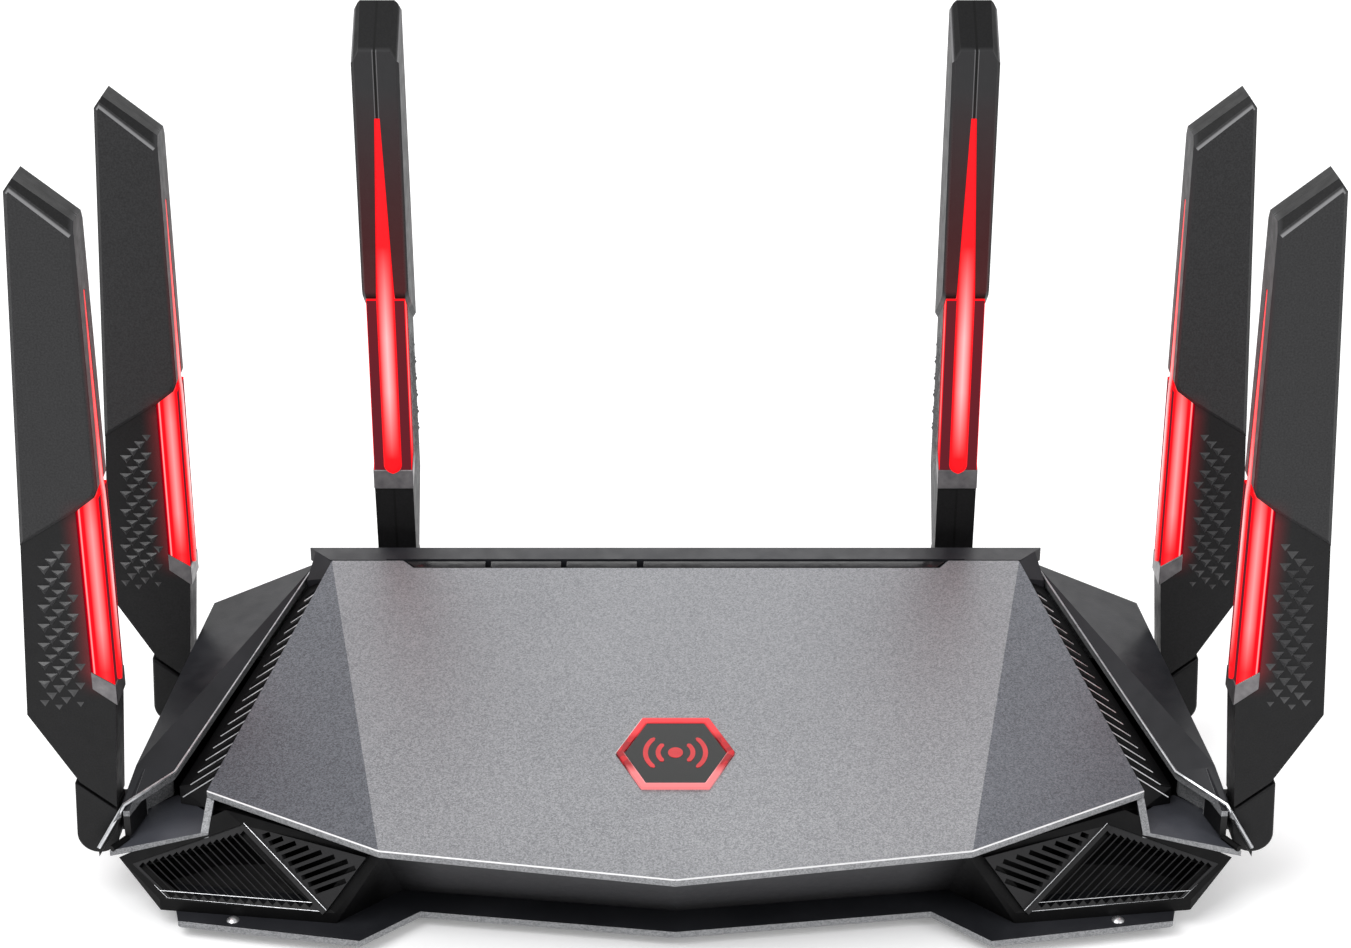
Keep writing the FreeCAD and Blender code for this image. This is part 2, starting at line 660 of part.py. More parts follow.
# ---------------------------------------------------------------- rear panel
socketXs = [-34.0, -17.5, -1.0, 15.5, 36.0]
socketWide, socketHigh, socketDeep = 15.6, 13.2, 18.0
boardTop = size("boardZ") + size("boardThick")
usbX, jackX, powerX, resetX = -56.0, 88.0, 62.0, 76.0
portZ = boardTop + 0.1
rearPanel = newBody("rear_panel")
panelSketch = sketchOn(rearPanel, "XZ_Plane", -46.2)
drawLoop(panelSketch, mirrored([(96.6, 6.9), (100.4, 24.0), (100.4, 50.0)]))
addFeature(rearPanel, "Pad", panelSketch, 1.8, away=True)
portSketch = sketchOn(rearPanel, "XZ_Plane", -45.2)
for x in socketXs:
    drawRectangle(portSketch, (x - 6.6, portZ + 1.0), (x + 6.6, portZ + 11.4))
drawRectangle(portSketch, (usbX - 6.8, portZ + 0.6), (usbX + 6.8, portZ + 6.9))
drawCircle(portSketch, (jackX, portZ + 5.5), 3.6)
drawCircle(portSketch, (powerX, portZ + 5.5), 3.9)
drawCircle(portSketch, (resetX, portZ + 5.5), 1.3)
addFeature(rearPanel, "Pocket", portSketch, 6.0)
ventSketch = sketchOn(rearPanel, "XZ_Plane", -45.2)
for n in range(24):
    if abs(n - 11.5) > 0.6:
        x = (n - 11.5) * 7.4
        drawLoop(ventSketch, [(x - 1.1, 40.0), (x + 0.7, 40.0), (x + 2.3, 46.5), (x + 0.5, 46.5)])
addFeature(rearPanel, "Pocket", ventSketch, 6.0)
backX, backHingeY, backHingeZ = size("backHingeX"), size("backHingeY"), size("backHingeZ")
lugNear = backX - bladeHalf - lugGap
for side in (-1, 1):
    lugSketch = sketchOn(rearPanel, "YZ_Plane", side * lugNear)
    radius = lugHalf
    lugSketch.addGeometry(Part.ArcOfCircle(
        Part.Circle(Vector(backHingeY, backHingeZ, 0), Vector(0, 0, 1), radius),
        -math.pi / 2, math.pi / 2), False)
    web = [(backHingeY, backHingeZ + radius), (47.5, backHingeZ + radius + 2.0),
           (47.5, backHingeZ - radius - 4.0), (backHingeY, backHingeZ - radius)]
    for start, end in zip(web, web[1:]):
        lugSketch.addGeometry(Part.LineSegment(Vector(*start, 0), Vector(*end, 0)), False)
    drawCircle(lugSketch, (backHingeY, backHingeZ), size("pinRadius") + 0.02)
    addFeature(rearPanel, "Pad", lugSketch, "Sizes.lugThick", away=side > 0)

# ---------------------------------------------------------------- main board and what stands on it
board = newBody("main_board")
boardSketch = sketchOn(board, "XY_Plane", size("boardZ"))
drawRectangle(boardSketch, (-94.0, -42.0), (94.0, 45.8))
addFeature(board, "Pad", boardSketch, "Sizes.boardThick")

sink = newBody("heat_sink")
sinkSketch = sketchOn(sink, "XY_Plane", boardTop)
drawRectangle(sinkSketch, (-56.0, -36.0), (48.0, 20.0))
addFeature(sink, "Pad", sinkSketch, 2.4)
finSketch = sketchOn(sink, "XY_Plane", boardTop + 2.4)
finCount, finPitch = 13, 8.5
for n in range(finCount):
    drawRectangle(finSketch, (-55.6 + n * finPitch, -36.0), (-54.4 + n * finPitch, 20.0))
addFeature(sink, "Pad", finSketch, 9.0)

shields = [box((x, y, boardTop), (x + w, y + d, boardTop + 3.2)) for x, y, w, d in (
    (-90.0, -38.0, 28.0, 30.0), (54.0, -38.0, 34.0, 30.0), (54.0, -2.0, 26.0, 22.0),
    (-90.0, -2.0, 26.0, 22.0))]
topSwitches = [box((x - 3, 39.0, 46.6), (x + 3, 42.0, 48.2)) for x in (-62.0, -41.2, -20.3)]
rearSwitches = [box((x - 3.5, 35.0, boardTop), (x + 3.5, 40.5, boardTop + 9.0)) for x in (powerX, resetX)]
newFeature("board_components", Part.makeCompound(shields + topSwitches + rearSwitches))


def socketShell(x, wide, high, deep, cavity, front=47.9):
    """A boxed socket that opens at the back, with the cavity (half width, low z, high z, depth)."""
    half, low, top, depth = cavity
    outside = box((x - wide / 2, front - deep, portZ), (x + wide / 2, 46.1, portZ + high))
    lip = box((x - half - 0.5, 46.0, portZ + low - 0.5), (x + half + 0.5, front, portZ + top + 0.5))
    return outside.fuse(lip).cut(box((x - half, front - depth, portZ + low), (x + half, 60.0, portZ + top)))


networkSockets = [
    socketShell(x, socketWide, socketHigh, socketDeep, (5.9, 1.7, 10.2, 13.0)) for x in socketXs
]
newFeature("network_sockets", Part.makeCompound(networkSockets))
usb = socketShell(usbX, 14.4, 8.0, 16.0, (6.1, 1.3, 6.3, 12.0))
usb = usb.fuse(box((usbX - 5.6, 35.4, portZ + 3.9), (usbX + 5.6, 46.6, portZ + 5.6)))
newFeature("usb_socket", usb)

jack = newBody("dc_jack")
jackBlock = sketchOn(jack, "XZ_Plane", -35.0)
drawRectangle(jackBlock, (jackX - 4.9, portZ), (jackX + 4.9, portZ + 10.6))
addFeature(jack, "Pad", jackBlock, 11.1, away=True)
jackBore = sketchOn(jack, "XZ_Plane", -46.1)
drawCircle(jackBore, (jackX, portZ + 5.5), 3.15)
drawCircle(jackBore, (jackX, portZ + 5.5), 1.0)
addFeature(jack, "Pocket", jackBore, 9.0, away=True)

# ---------------------------------------------------------------- power and reset buttons
power = newBody("power_button")
powerSketch = sketchOn(power, "XZ_Plane", -42.4)
drawCircle(powerSketch, (powerX, portZ + 5.5), 3.6)
addFeature(power, "Pad", powerSketch, 7.4, away=True)
reset = newBody("reset_button")
resetSketch = sketchOn(reset, "XZ_Plane", -41.6)
drawCircle(resetSketch, (resetX, portZ + 5.5), 1.0)
addFeature(reset, "Pad", resetSketch, 5.9, away=True)

# ---------------------------------------------------------------- antennas
# Drawn about the hinge axis: X outwards, Z up the blade, Y through its thickness.
bladeOutline = [
    (3.3, 15.0), (14.6, 34.2), (11.8, 80.3), (7.0, 169.1), (5.0, 171.9), (-8.0, 161.5), (-8.0, 95.4),
    (-7.0, 93.0), (-2.1, 89.2), (-2.1, 46.0), (-7.8, 42.3), (-5.3, 7.9),
]
sleeveOutline = [
    (11.9, 80.3), (7.1, 169.1), (5.0, 172.0), (-8.0, 161.6), (-8.0, 95.4), (-7.0, 93.0), (-2.1, 89.2),
]
cavityOutline = [
    (1.0, 17.0), (12.4, 36.5), (9.9, 80.0), (5.2, 164.0), (2.6, 164.0), (-5.0, 157.0), (-4.0, 100.0),
    (-0.5, 91.0), (-0.5, 44.0), (-3.6, 32.0), (-3.4, 14.0),
]
lensOutline = [(-2.2, 46.1), (-2.2, 89.1), (-7.05, 92.85), (-7.9, 92.9), (-7.75, 42.5)]
coreHalfLow, coreHalfTop = 2.5, 0.7
coreLowH, coreTopH = 92.0, 143.5
coreOutline = [
        (-coreHalfLow, coreLowH), (coreHalfLow, coreLowH), (coreHalfTop, coreTopH), (-coreHalfTop, coreTopH)]
aerialOutline = [(-0.2, 46.0), (9.4, 46.0), (4.4, 150.0), (-0.2, 150.0)]
radius = size("hingeRadius")


def antennaShell(label, way, place):
    """Half of the blade on one side of its seam; way is the side along Y."""
    body = newBody(label)
    away = way > 0
    outline = sketchOn(body, "XZ_Plane")
    drawLoop(outline, bladeOutline)
    addFeature(body, "Pad", outline, "Sizes.bladeHalf", away=away)
    sleeve = sketchOn(body, "XZ_Plane")
    drawLoop(sleeve, sleeveOutline)
    addFeature(body, "Pad", sleeve, "Sizes.sleeveHalf - Sizes.sleeveBevel", away=away)
    brow = sketchOn(body, "XZ_Plane", -way * (size("sleeveHalf") - size("sleeveBevel")))
    drawLoop(brow, sleeveOutline)
    taper = addFeature(body, "Pad", brow, "Sizes.sleeveBevel", away=away)
    taper.TaperAngle = -45.0
    cavity = sketchOn(body, "XZ_Plane")
    drawLoop(cavity, cavityOutline)
    addFeature(body, "Pocket", cavity, "Sizes.bladeHalf - Sizes.skin", away=not away)
    neck = sketchOn(body, "XZ_Plane")
    drawRectangle(neck, (-3.0, 4.0), (2.2, 24.2))
    addFeature(body, "Pocket", neck, 3.1, away=not away)
    channel = sketchOn(body, "YZ_Plane", -9.0)
    drawLoop(channel, [(s * 1.03, h + 0.1 * (h > coreLowH)) for s, h in coreOutline])
    addFeature(body, "Pocket", channel, 3.3, away=True)
    body.Placement = place
    return body


def lightGuide(label, place):
    body = newBody(label)
    block = sketchOn(body, "XZ_Plane")
    drawLoop(block, lensOutline)
    addFeature(body, "Pad", block, 10.5, middle=True)
    core = sketchOn(body, "YZ_Plane", -7.9)
    drawLoop(core, coreOutline)
    addFeature(body, "Pad", core, 2.1)
    body.Placement = place
    return body


def aerial(label, place):
    body = newBody(label)
    strip = sketchOn(body, "XZ_Plane")
    drawLoop(strip, aerialOutline)
    addFeature(body, "Pad", strip, 1.0, middle=True)
    body.Placement = place
    return body


def knuckle(label, lugWay, place):
    """Rounded hinge barrel with a neck up into the blade; its blind bore opens on the lug side."""
    body = newBody(label)
    barrel = sketchOn(body, "XZ_Plane")
    barrel.addGeometry(Part.ArcOfCircle(
        Part.Circle(Vector(0, 0, 0), Vector(0, 0, 1), radius), math.pi, 2 * math.pi), False)
    top = [(radius, 0.0), (4.6, 14.9), (3.4, 14.0), (-radius, 6.8), (-radius, 0.0)]
    for start, end in zip(top, top[1:]):
        barrel.addGeometry(Part.LineSegment(Vector(*start, 0), Vector(*end, 0)), False)
    addFeature(body, "Pad", barrel, 2 * bladeHalf, middle=True)
    neck = sketchOn(body, "XZ_Plane")
    drawRectangle(neck, (-2.9, 3.0), (2.1, 24.0))
    addFeature(body, "Pad", neck, 6.0, middle=True)
    bore = sketchOn(body, "XZ_Plane", -lugWay * (bladeHalf + 1.0))
    drawCircle(bore, (0, 0), size("pinRadius") + size("pinGap"))
    addFeature(body, "Pocket", bore, 2 * bladeHalf - 0.6, away=lugWay > 0)
    body.Placement = place
    return body


antennas = {
    "front_right": (size("frontHingeX"), size("frontHingeY"), hingeZ, 0, 1),
    "front_left": (-size("frontHingeX"), size("frontHingeY"), hingeZ, 180, -1),
    "side_right": (size("sideHingeX"), size("sideHingeY"), hingeZ, 0, 1),
    "side_left": (-size("sideHingeX"), size("sideHingeY"), hingeZ, 180, -1),
    "back_right": (backX, backHingeY, backHingeZ, 90, 1),
    "back_left": (-backX, backHingeY, backHingeZ, 90, -1),
}
pins = []
for name, (x, y, z, turn, lugWay) in antennas.items():
    place = Placement(Vector(x, y, z), Rotation(Vector(0, 0, 1), turn))
    antennaShell(name + "_antenna_shell_a", 1, place)
    antennaShell(name + "_antenna_shell_b", -1, place)
    lightGuide(name + "_light_guide", place)
    aerial(name + "_aerial", place)
    knuckle(name + "_knuckle", lugWay, place)
    reach = bladeHalf + lugGap + lugThick
    pinLong = reach + bladeHalf - 1.8
    pin = Part.makeCylinder(size("pinRadius"), pinLong, Vector(0, lugWay * reach, 0), Vector(0, -lugWay, 0))
    pin.Placement = place.multiply(pin.Placement)
    pins.append(pin)
newFeature("hinge_pins", Part.makeCompound(pins))

# ---------------------------------------------------------------- check and write
doc.recompute()
for item in doc.Objects:
    if "Invalid" in item.State or "Error" in item.State:
        raise RuntimeError(f"{item.Label} failed: {item.State}")
for piece in pieces:
    if piece.Shape.isNull() or not piece.Shape.isValid():
        raise RuntimeError(f"{piece.Label} has no valid shape")
    if not piece.Shape.Solids:
        raise RuntimeError(f"{piece.Label} has no solid")
for old in os.listdir("parts"):
    os.remove(os.path.join("parts", old))
for piece in pieces:
    piece.Shape.exportStep(f"parts/{piece.Label}.step")
    bounds = piece.Shape.BoundBox
    print(f"{piece.Label}: {len(piece.Shape.Solids)} solid(s), volume {piece.Shape.Volume:.0f}, "
          f"x {bounds.XMin:.1f} {bounds.XMax:.1f}, y {bounds.YMin:.1f} {bounds.YMax:.1f}, "
          f"z {bounds.ZMin:.1f} {bounds.ZMax:.1f}")
print(len(pieces), "nodes written")
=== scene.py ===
import json
import math

import bmesh
import bpy
import numpy as np
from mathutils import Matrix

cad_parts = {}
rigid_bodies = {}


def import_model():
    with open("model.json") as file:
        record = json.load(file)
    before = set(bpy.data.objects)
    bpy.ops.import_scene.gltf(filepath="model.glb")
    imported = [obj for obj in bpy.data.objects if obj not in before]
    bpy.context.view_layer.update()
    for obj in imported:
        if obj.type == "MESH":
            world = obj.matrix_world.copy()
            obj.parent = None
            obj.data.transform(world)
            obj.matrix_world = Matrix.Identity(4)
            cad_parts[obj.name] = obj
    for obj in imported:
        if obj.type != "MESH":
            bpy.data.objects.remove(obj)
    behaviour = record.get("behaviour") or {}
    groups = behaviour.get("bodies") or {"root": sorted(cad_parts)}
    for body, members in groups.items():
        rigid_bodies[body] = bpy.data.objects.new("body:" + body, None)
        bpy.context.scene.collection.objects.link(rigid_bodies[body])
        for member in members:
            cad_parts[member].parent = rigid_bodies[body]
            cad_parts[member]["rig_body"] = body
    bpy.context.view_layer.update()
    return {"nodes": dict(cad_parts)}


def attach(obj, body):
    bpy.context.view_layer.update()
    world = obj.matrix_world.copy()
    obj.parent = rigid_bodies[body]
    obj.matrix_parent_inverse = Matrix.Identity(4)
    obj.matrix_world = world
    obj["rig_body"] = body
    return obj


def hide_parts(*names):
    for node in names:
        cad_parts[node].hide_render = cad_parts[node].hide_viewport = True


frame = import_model()
nodes = frame["nodes"]
mm = 0.001
print("frame loaded,", len(nodes), "nodes")


# puts a mesh of points and faces into the scene, riding on a body
def addPiece(name, points, faces, body, material, smooth=False):
    mesh = bpy.data.meshes.new(name)
    mesh.from_pydata(points.tolist(), [], [list(face) for face in faces])
    mesh.update()
    mesh.materials.append(material)
    piece = bpy.data.objects.new(name, mesh)
    bpy.context.scene.collection.objects.link(piece)
    if smooth:
        mesh.shade_smooth()
        mesh.set_sharp_from_angle(angle=math.radians(40.0))
    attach(piece, body)
    return piece


# rings of points joined in order by four-sided faces, closed by a face at each end
def ringFaces(rings, around):
    i, j = np.meshgrid(np.arange(rings - 1), np.arange(around), indexing="ij")
    k = (j + 1) % around
    sides = np.stack([i * around + j, i * around + k, (i + 1) * around + k, (i + 1) * around + j], -1)
    ends = [list(range(around))[::-1], list(range((rings - 1) * around, rings * around))]
    return sides.reshape(-1, 4).tolist() + ends


# a closed mesh's faces are turned outwards
def outwards(piece):
    build = bmesh.new()
    build.from_mesh(piece.data)
    bmesh.ops.recalc_face_normals(build, faces=build.faces)
    build.to_mesh(piece.data)
    build.free()


# the piece's mesh becomes what its modifiers make of it
def applyModifiers(piece):
    view = bpy.context.evaluated_depsgraph_get()
    finished = bpy.data.meshes.new_from_object(piece.evaluated_get(view))
    piece.modifiers.clear()
    old = piece.data
    piece.data = finished
    bpy.data.meshes.remove(old)


# a bevel of the given width on every edge sharper than the angle, with face-weighted shading
def roundEdges(piece, width, segments=2, angle=25.0):
    bevel = piece.modifiers.new("edges", "BEVEL")
    bevel.width = width
    bevel.segments = segments
    bevel.limit_method = "ANGLE"
    bevel.angle_limit = math.radians(angle)
    bevel.miter_outer = "MITER_SHARP"
    weigh = piece.modifiers.new("weigh", "WEIGHTED_NORMAL")
    weigh.weight = 100
    weigh.keep_sharp = True
    piece.data.shade_smooth()
    applyModifiers(piece)


# a merged copy of a CAD node with rounded edges, which stands for the node; planes cut its corners off first
def roundedCopy(node, width, material, segments=2, angle=25.0, planes=()):
    mesh = nodes[node].data.copy()
    build = bmesh.new()
    build.from_mesh(mesh)
    bmesh.ops.remove_doubles(build, verts=build.verts, dist=2e-6)
    bmesh.ops.dissolve_limit(build, angle_limit=math.radians(0.6), verts=build.verts, edges=build.edges)
    for point, normal in planes:
        everything = build.verts[:] + build.edges[:] + build.faces[:]
        bmesh.ops.bisect_plane(build, geom=everything, plane_co=point, plane_no=normal, clear_outer=True)
        bmesh.ops.holes_fill(build, edges=[edge for edge in build.edges if edge.is_boundary])
    build.to_mesh(mesh)
    build.free()
    mesh.name = "shape_" + node
    mesh.materials.clear()
    mesh.materials.append(material)
    piece = bpy.data.objects.new("shaped_" + node, mesh)
    bpy.context.scene.collection.objects.link(piece)
    roundEdges(piece, width, segments, angle)
    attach(piece, nodes[node]["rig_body"])
    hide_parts(node)
    return piece


# gives CAD nodes a material without touching their shape
def dress(names, material):
    for name in names:
        mesh = nodes[name].data
        mesh.materials.clear()
        mesh.materials.append(material)


# a material with short calls for its nodes
class Shading:
    def __init__(self, name):
        self.material = bpy.data.materials.new(name)
        self.material.use_nodes = True
        self.tree = self.material.node_tree
        self.bsdf = self.tree.nodes["Principled BSDF"]
        self.coords = self.add("ShaderNodeTexCoord").outputs["Object"]

    def add(self, kind, **settings):
        node = self.tree.nodes.new(kind)
        for key, value in settings.items():
            setattr(node, key, value)
        return node

    def link(self, start, end):
        self.tree.links.new(start, end)

    def noise(self, scale, detail=2.0, roughness=0.5):
        node = self.add("ShaderNodeTexNoise")
        node.inputs["Scale"].default_value = scale
        node.inputs["Detail"].default_value = detail
        node.inputs["Roughness"].default_value = roughness
        self.link(self.coords, node.inputs["Vector"])
        return node.outputs["Fac"]

    def cells(self, scale):
        node = self.add("ShaderNodeTexVoronoi")
        node.inputs["Scale"].default_value = scale
        self.link(self.coords, node.inputs["Vector"])
        return node.outputs["Color"]

    def math(self, operation, first, second=0.0):
        node = self.add("ShaderNodeMath", operation=operation)
        for socket, value in zip(node.inputs, (first, second)):
            if isinstance(value, (int, float)):
                socket.default_value = value
            else:
                self.link(value, socket)
        return node.outputs[0]

    def size(self, value):  # a value without its sign
        return self.math("ABSOLUTE", value)

    def over(self, value, limit):  # 1 above the limit and 0 below it
        return self.math("GREATER_THAN", value, limit)

    def below(self, value, limit):
        return self.math("LESS_THAN", value, limit)

    # low to high becomes toLow to toHigh, held beyond
    def span(self, value, low, high, toLow=0.0, toHigh=1.0):
        node = self.add("ShaderNodeMapRange", clamp=True)
        for name, number in zip(("From Min", "From Max", "To Min", "To Max"), (low, high, toLow, toHigh)):
            node.inputs[name].default_value = number
        self.link(value, node.inputs["Value"])
        return node.outputs["Result"]

    def bell(self, value, centre, reach):  # 1 at the centre, 0 a reach away on either side
        return self.span(self.size(self.math("SUBTRACT", value, centre)), 0.0, reach, 1.0, 0.0)

    def drift(self, scale):  # slow change from 0 to 1 over the surface
        return self.span(self.noise(scale, 3.0), 0.3, 0.7)

    def sheen(self, scale, low, high):  # roughness that wanders between two values
        return self.span(self.noise(scale, 3.0), 0.3, 0.7, low, high)

    def every(self, *values):
        total = values[0]
        for value in values[1:]:
            total = self.math("MULTIPLY", total, value)
        return total

    def mix(self, share, first, second):
        node = self.add("ShaderNodeMix", data_type="RGBA")
        self.link(share, node.inputs["Factor"])
        for socket, value in ((node.inputs[6], first), (node.inputs[7], second)):
            if isinstance(value, tuple):
                socket.default_value = (*value, 1.0)
            else:
                self.link(value, socket)
        return node.outputs[2]

    def parts(self, vector):
        node = self.add("ShaderNodeSeparateXYZ")
        self.link(vector, node.inputs[0])
        return node.outputs

    def place(self):  # where a point is on the object, as X, Y and Z in metres
        return self.parts(self.coords)

    def blade(self):  # an antenna's own millimetres: outwards, through its thickness, up from its hinge
        return self.parts(self.add("ShaderNodeAttribute", attribute_name="blade").outputs["Vector"])

    def facing(self):  # the flat face's own direction, as X, Y and Z
        return self.parts(self.add("ShaderNodeNewGeometry").outputs["True Normal"])

    def bump(self, height, strength, distance):
        node = self.add("ShaderNodeBump")
        node.inputs["Strength"].default_value = strength
        node.inputs["Distance"].default_value = distance
        self.link(height, node.inputs["Height"])
        self.link(node.outputs["Normal"], self.bsdf.inputs["Normal"])

    def set(self, **values):
        for name, value in values.items():
            socket = self.bsdf.inputs[name.replace("_", " ")]
            if isinstance(value, (int, float)):
                socket.default_value = value
            elif isinstance(value, tuple):
                socket.default_value = (*value, 1.0)
            else:
                self.link(value, socket)


# rim is the painted highlight colour for the rounding at the top of an edge
panelTones = {
    "bright": (0.40, 0.405, 0.42), "dark": (0.15, 0.155, 0.168), "shadedSideBright": (0.19, 0.20, 0.225),
    "shadedSideDark": (0.055, 0.059, 0.070), "bandDark": (0.13, 0.133, 0.14), "bandBright": (0.34, 0.345, 0.355),
    "rim": (0.80, 0.80, 0.81), "flakesPerMetre": 3200.0, "metallic": 0.45,
    "gritPerMetre": 5200.0, "grainPerMetre": 3000.0, "grainDepth": 0.00008,
}


# metallic flake: tiny cells of two tones over a slow drift
def flake(shade, first, second):
    speck = shade.parts(shade.cells(panelTones["flakesPerMetre"]))[0]
    grit = shade.noise(panelTones["gritPerMetre"], 2.0)
    drift = shade.noise(9.0, 2.0)
    tone = shade.math("ADD", shade.math("MULTIPLY", speck, 0.45), shade.math("MULTIPLY", drift, 0.4))
    tone = shade.math("ADD", tone, shade.math("MULTIPLY", grit, 0.35))
    return shade.mix(shade.span(tone, 0.3, 0.95), first, second)


# the upright band of an edge is grey paint, and the rounding above it is painted bright as a highlight
def rimmed(shade, z, top, bandTop, highlightTop):
    band = flake(shade, panelTones["bandDark"], panelTones["bandBright"])
    colour = shade.mix(shade.below(z, highlightTop), top, panelTones["rim"])
    return shade.mix(shade.below(z, bandTop), colour, band)


# silver paint: the side facets are painted darker than the middle one as shade, the middle one is painted
# lighter towards the front, and the edge is a grey band with a painted highlight along its rim
def panelPaint():
    shade = Shading("panelPaint")
    x, _, z = shade.facing()
    middle = flake(shade, panelTones["dark"], panelTones["bright"])
    # painted shade: the side facets get a darker flake than the middle one
    side = flake(shade, panelTones["shadedSideDark"], panelTones["shadedSideBright"])
    shadedSideShare = shade.span(shade.size(x), 0.03, 0.045)
    lift = shade.span(shade.place()[1], -0.06, 0.03, 1.0, 0.72)  # painted light: the middle facet is painted lighter towards the front and darker towards the rear
    middle = shade.mix(lift, panelTones["dark"], middle)
    colour = shade.mix(shadedSideShare, middle, side)
    colour = rimmed(shade, z, colour, 0.25, 0.88)
    shade.set(Base_Color=colour, Metallic=panelTones["metallic"])
    shade.set(Roughness=shade.sheen(panelTones["grainPerMetre"], 0.38, 0.48))
    shade.bump(shade.noise(panelTones["grainPerMetre"], 2.0), 0.22, panelTones["grainDepth"])
    return shade.material


charcoal = {
    "base": (0.0125, 0.0132, 0.0160), "light": (0.0215, 0.0225, 0.0265), "shadow": (0.0022, 0.0022, 0.0024),
    "grainPerMetre": 2600.0, "grainDepth": 0.0001,
}
wingZones = {"bandLow": 0.0245, "noseEnd": -0.0365, "shadowTop": 0.0262, "shadowEnd": -0.0350}  # metres


# charcoal plastic: mask picks the faces painted silver by their direction, and the second mask picks the
# faces painted near-black as shadow
def edgedPlastic(name, mask=None, bandTop=0.2, lift=1.0, shadowMask=None):
    shade = Shading(name)
    # lift scales the charcoal tones; above 1 it paints light in
    tones = [tuple(lift * tone for tone in charcoal[key]) for key in ("base", "light")]
    body = shade.mix(shade.drift(60.0), *tones)
    x, y, z = shade.facing()
    # painted shadow: the picked faces turn near-black
    if shadowMask:
        body = shade.mix(shadowMask(shade, z), body, charcoal["shadow"])
    if mask:
        edge = mask(shade, x, y, z)
        # edge faces above the band take the rim colour as a painted highlight
        body = shade.mix(edge, body, rimmed(shade, z, panelTones["rim"], bandTop, 1.0))
        shade.set(Metallic=shade.math("MULTIPLY", edge, 0.4))
    shade.set(Base_Color=body, Specular_IOR_Level=0.35, Roughness=shade.sheen(240.0, 0.34, 0.46))
    shade.bump(shade.noise(charcoal["grainPerMetre"], 2.0), 0.22, charcoal["grainDepth"])
    return shade.material


# a wing's upright walls that face inwards or forwards, apart from the low ones at its nose
def wingMask(side):
    def mask(shade, x, y, z):
        _, py, pz = shade.place()
        inward = shade.below(shade.math("MULTIPLY", x, float(side)), 0.3)
        high, behind = shade.over(pz, wingZones["bandLow"]), shade.over(py, wingZones["noseEnd"])
        shown = shade.math("MAXIMUM", high, behind)
        return shade.every(shade.below(shade.size(z), 0.2), inward, shade.below(y, 0.5), shown)
    return mask


def wingShadow(shade, z):  # the walls below a wing's nose, painted near-black as shadow
    _, py, pz = shade.place()
    low = shade.below(pz, wingZones["shadowTop"])
    return shade.every(low, shade.below(py, wingZones["shadowEnd"]), shade.below(shade.size(z), 0.9))


def deckMask(shade, x, y, z):  # front faces
    return shade.every(shade.below(y, -0.45), shade.below(z, 0.8))


def plateMask(shade, x, y, z):  # faces round the rim, neither the top nor the underside
    return shade.every(shade.below(z, 0.5), shade.over(z, -0.9))


# dull plastic that drifts between two tones
def plainPlastic(name, low, high, rough, grain=2600.0, depth=0.0001, slow=60.0, gloss=0.35):
    shade = Shading(name)
    shade.set(Base_Color=shade.mix(shade.drift(slow), low, high), Specular_IOR_Level=gloss)
    shade.set(Roughness=shade.sheen(300.0, rough - 0.06, rough + 0.08))
    shade.bump(shade.noise(grain, 2.0), 0.25, depth)
    return shade.material


lowerTones = {
    "podDark": (0.0026, 0.0026, 0.0028), "podLight": (0.0055, 0.0055, 0.0058),
    "middle": (0.045, 0.045, 0.048), "middleEnds": (0.074, 0.058),  # metres from the centre
    "slatDark": (0.0022, 0.0022, 0.0024), "slatLight": (0.0055, 0.0055, 0.0060),
    "slotWallHighlight": (0.022, 0.022, 0.023),
}


# moulded black of the lower case, paler along the middle of its front
def podPaint():
    shade = Shading("podPlastic")
    middle = shade.span(shade.size(shade.place()[0]), *lowerTones["middleEnds"])
    pod = shade.mix(shade.drift(60.0), lowerTones["podDark"], lowerTones["podLight"])
    shade.set(Base_Color=shade.mix(middle, pod, lowerTones["middle"]), Specular_IOR_Level=0.10)
    shade.set(Roughness=shade.sheen(300.0, 0.40, 0.54))
    shade.bump(shade.noise(2600.0, 2.0), 0.25, 0.0001)
    return shade.material


def metal(name, low, high, rough):
    shade = Shading(name)
    shade.set(Base_Color=shade.mix(shade.span(shade.noise(400.0, 4.0), 0.3, 0.7), low, high), Metallic=0.9)
    shade.set(Roughness=shade.sheen(500.0, rough - 0.05, rough + 0.1))
    shade.bump(shade.noise(1500.0, 2.0), 0.15, 0.00005)
    return shade.material


# satin black plastic; the slot walls that face upwards are painted lighter as a highlight
def slattedPlastic():
    shade = Shading("grillePlastic")
    z = shade.facing()[2]
    wallHighlight = shade.every(shade.span(z, 0.62, 0.8, 1.0, 0.0), shade.over(z, 0.0))
    face = shade.mix(shade.drift(80.0), lowerTones["slatDark"], lowerTones["slatLight"])
    shade.set(Base_Color=shade.mix(wallHighlight, face, lowerTones["slotWallHighlight"]), Specular_IOR_Level=0.12)
    shade.set(Roughness=shade.sheen(300.0, 0.36, 0.46))
    shade.bump(shade.noise(2400.0, 2.0), 0.2, 0.00008)
    return shade.material


panelMaterial = panelPaint()
wingMaterials = {side: edgedPlastic("wingPlastic", wingMask(side), shadowMask=wingShadow) for side in (1, -1)}
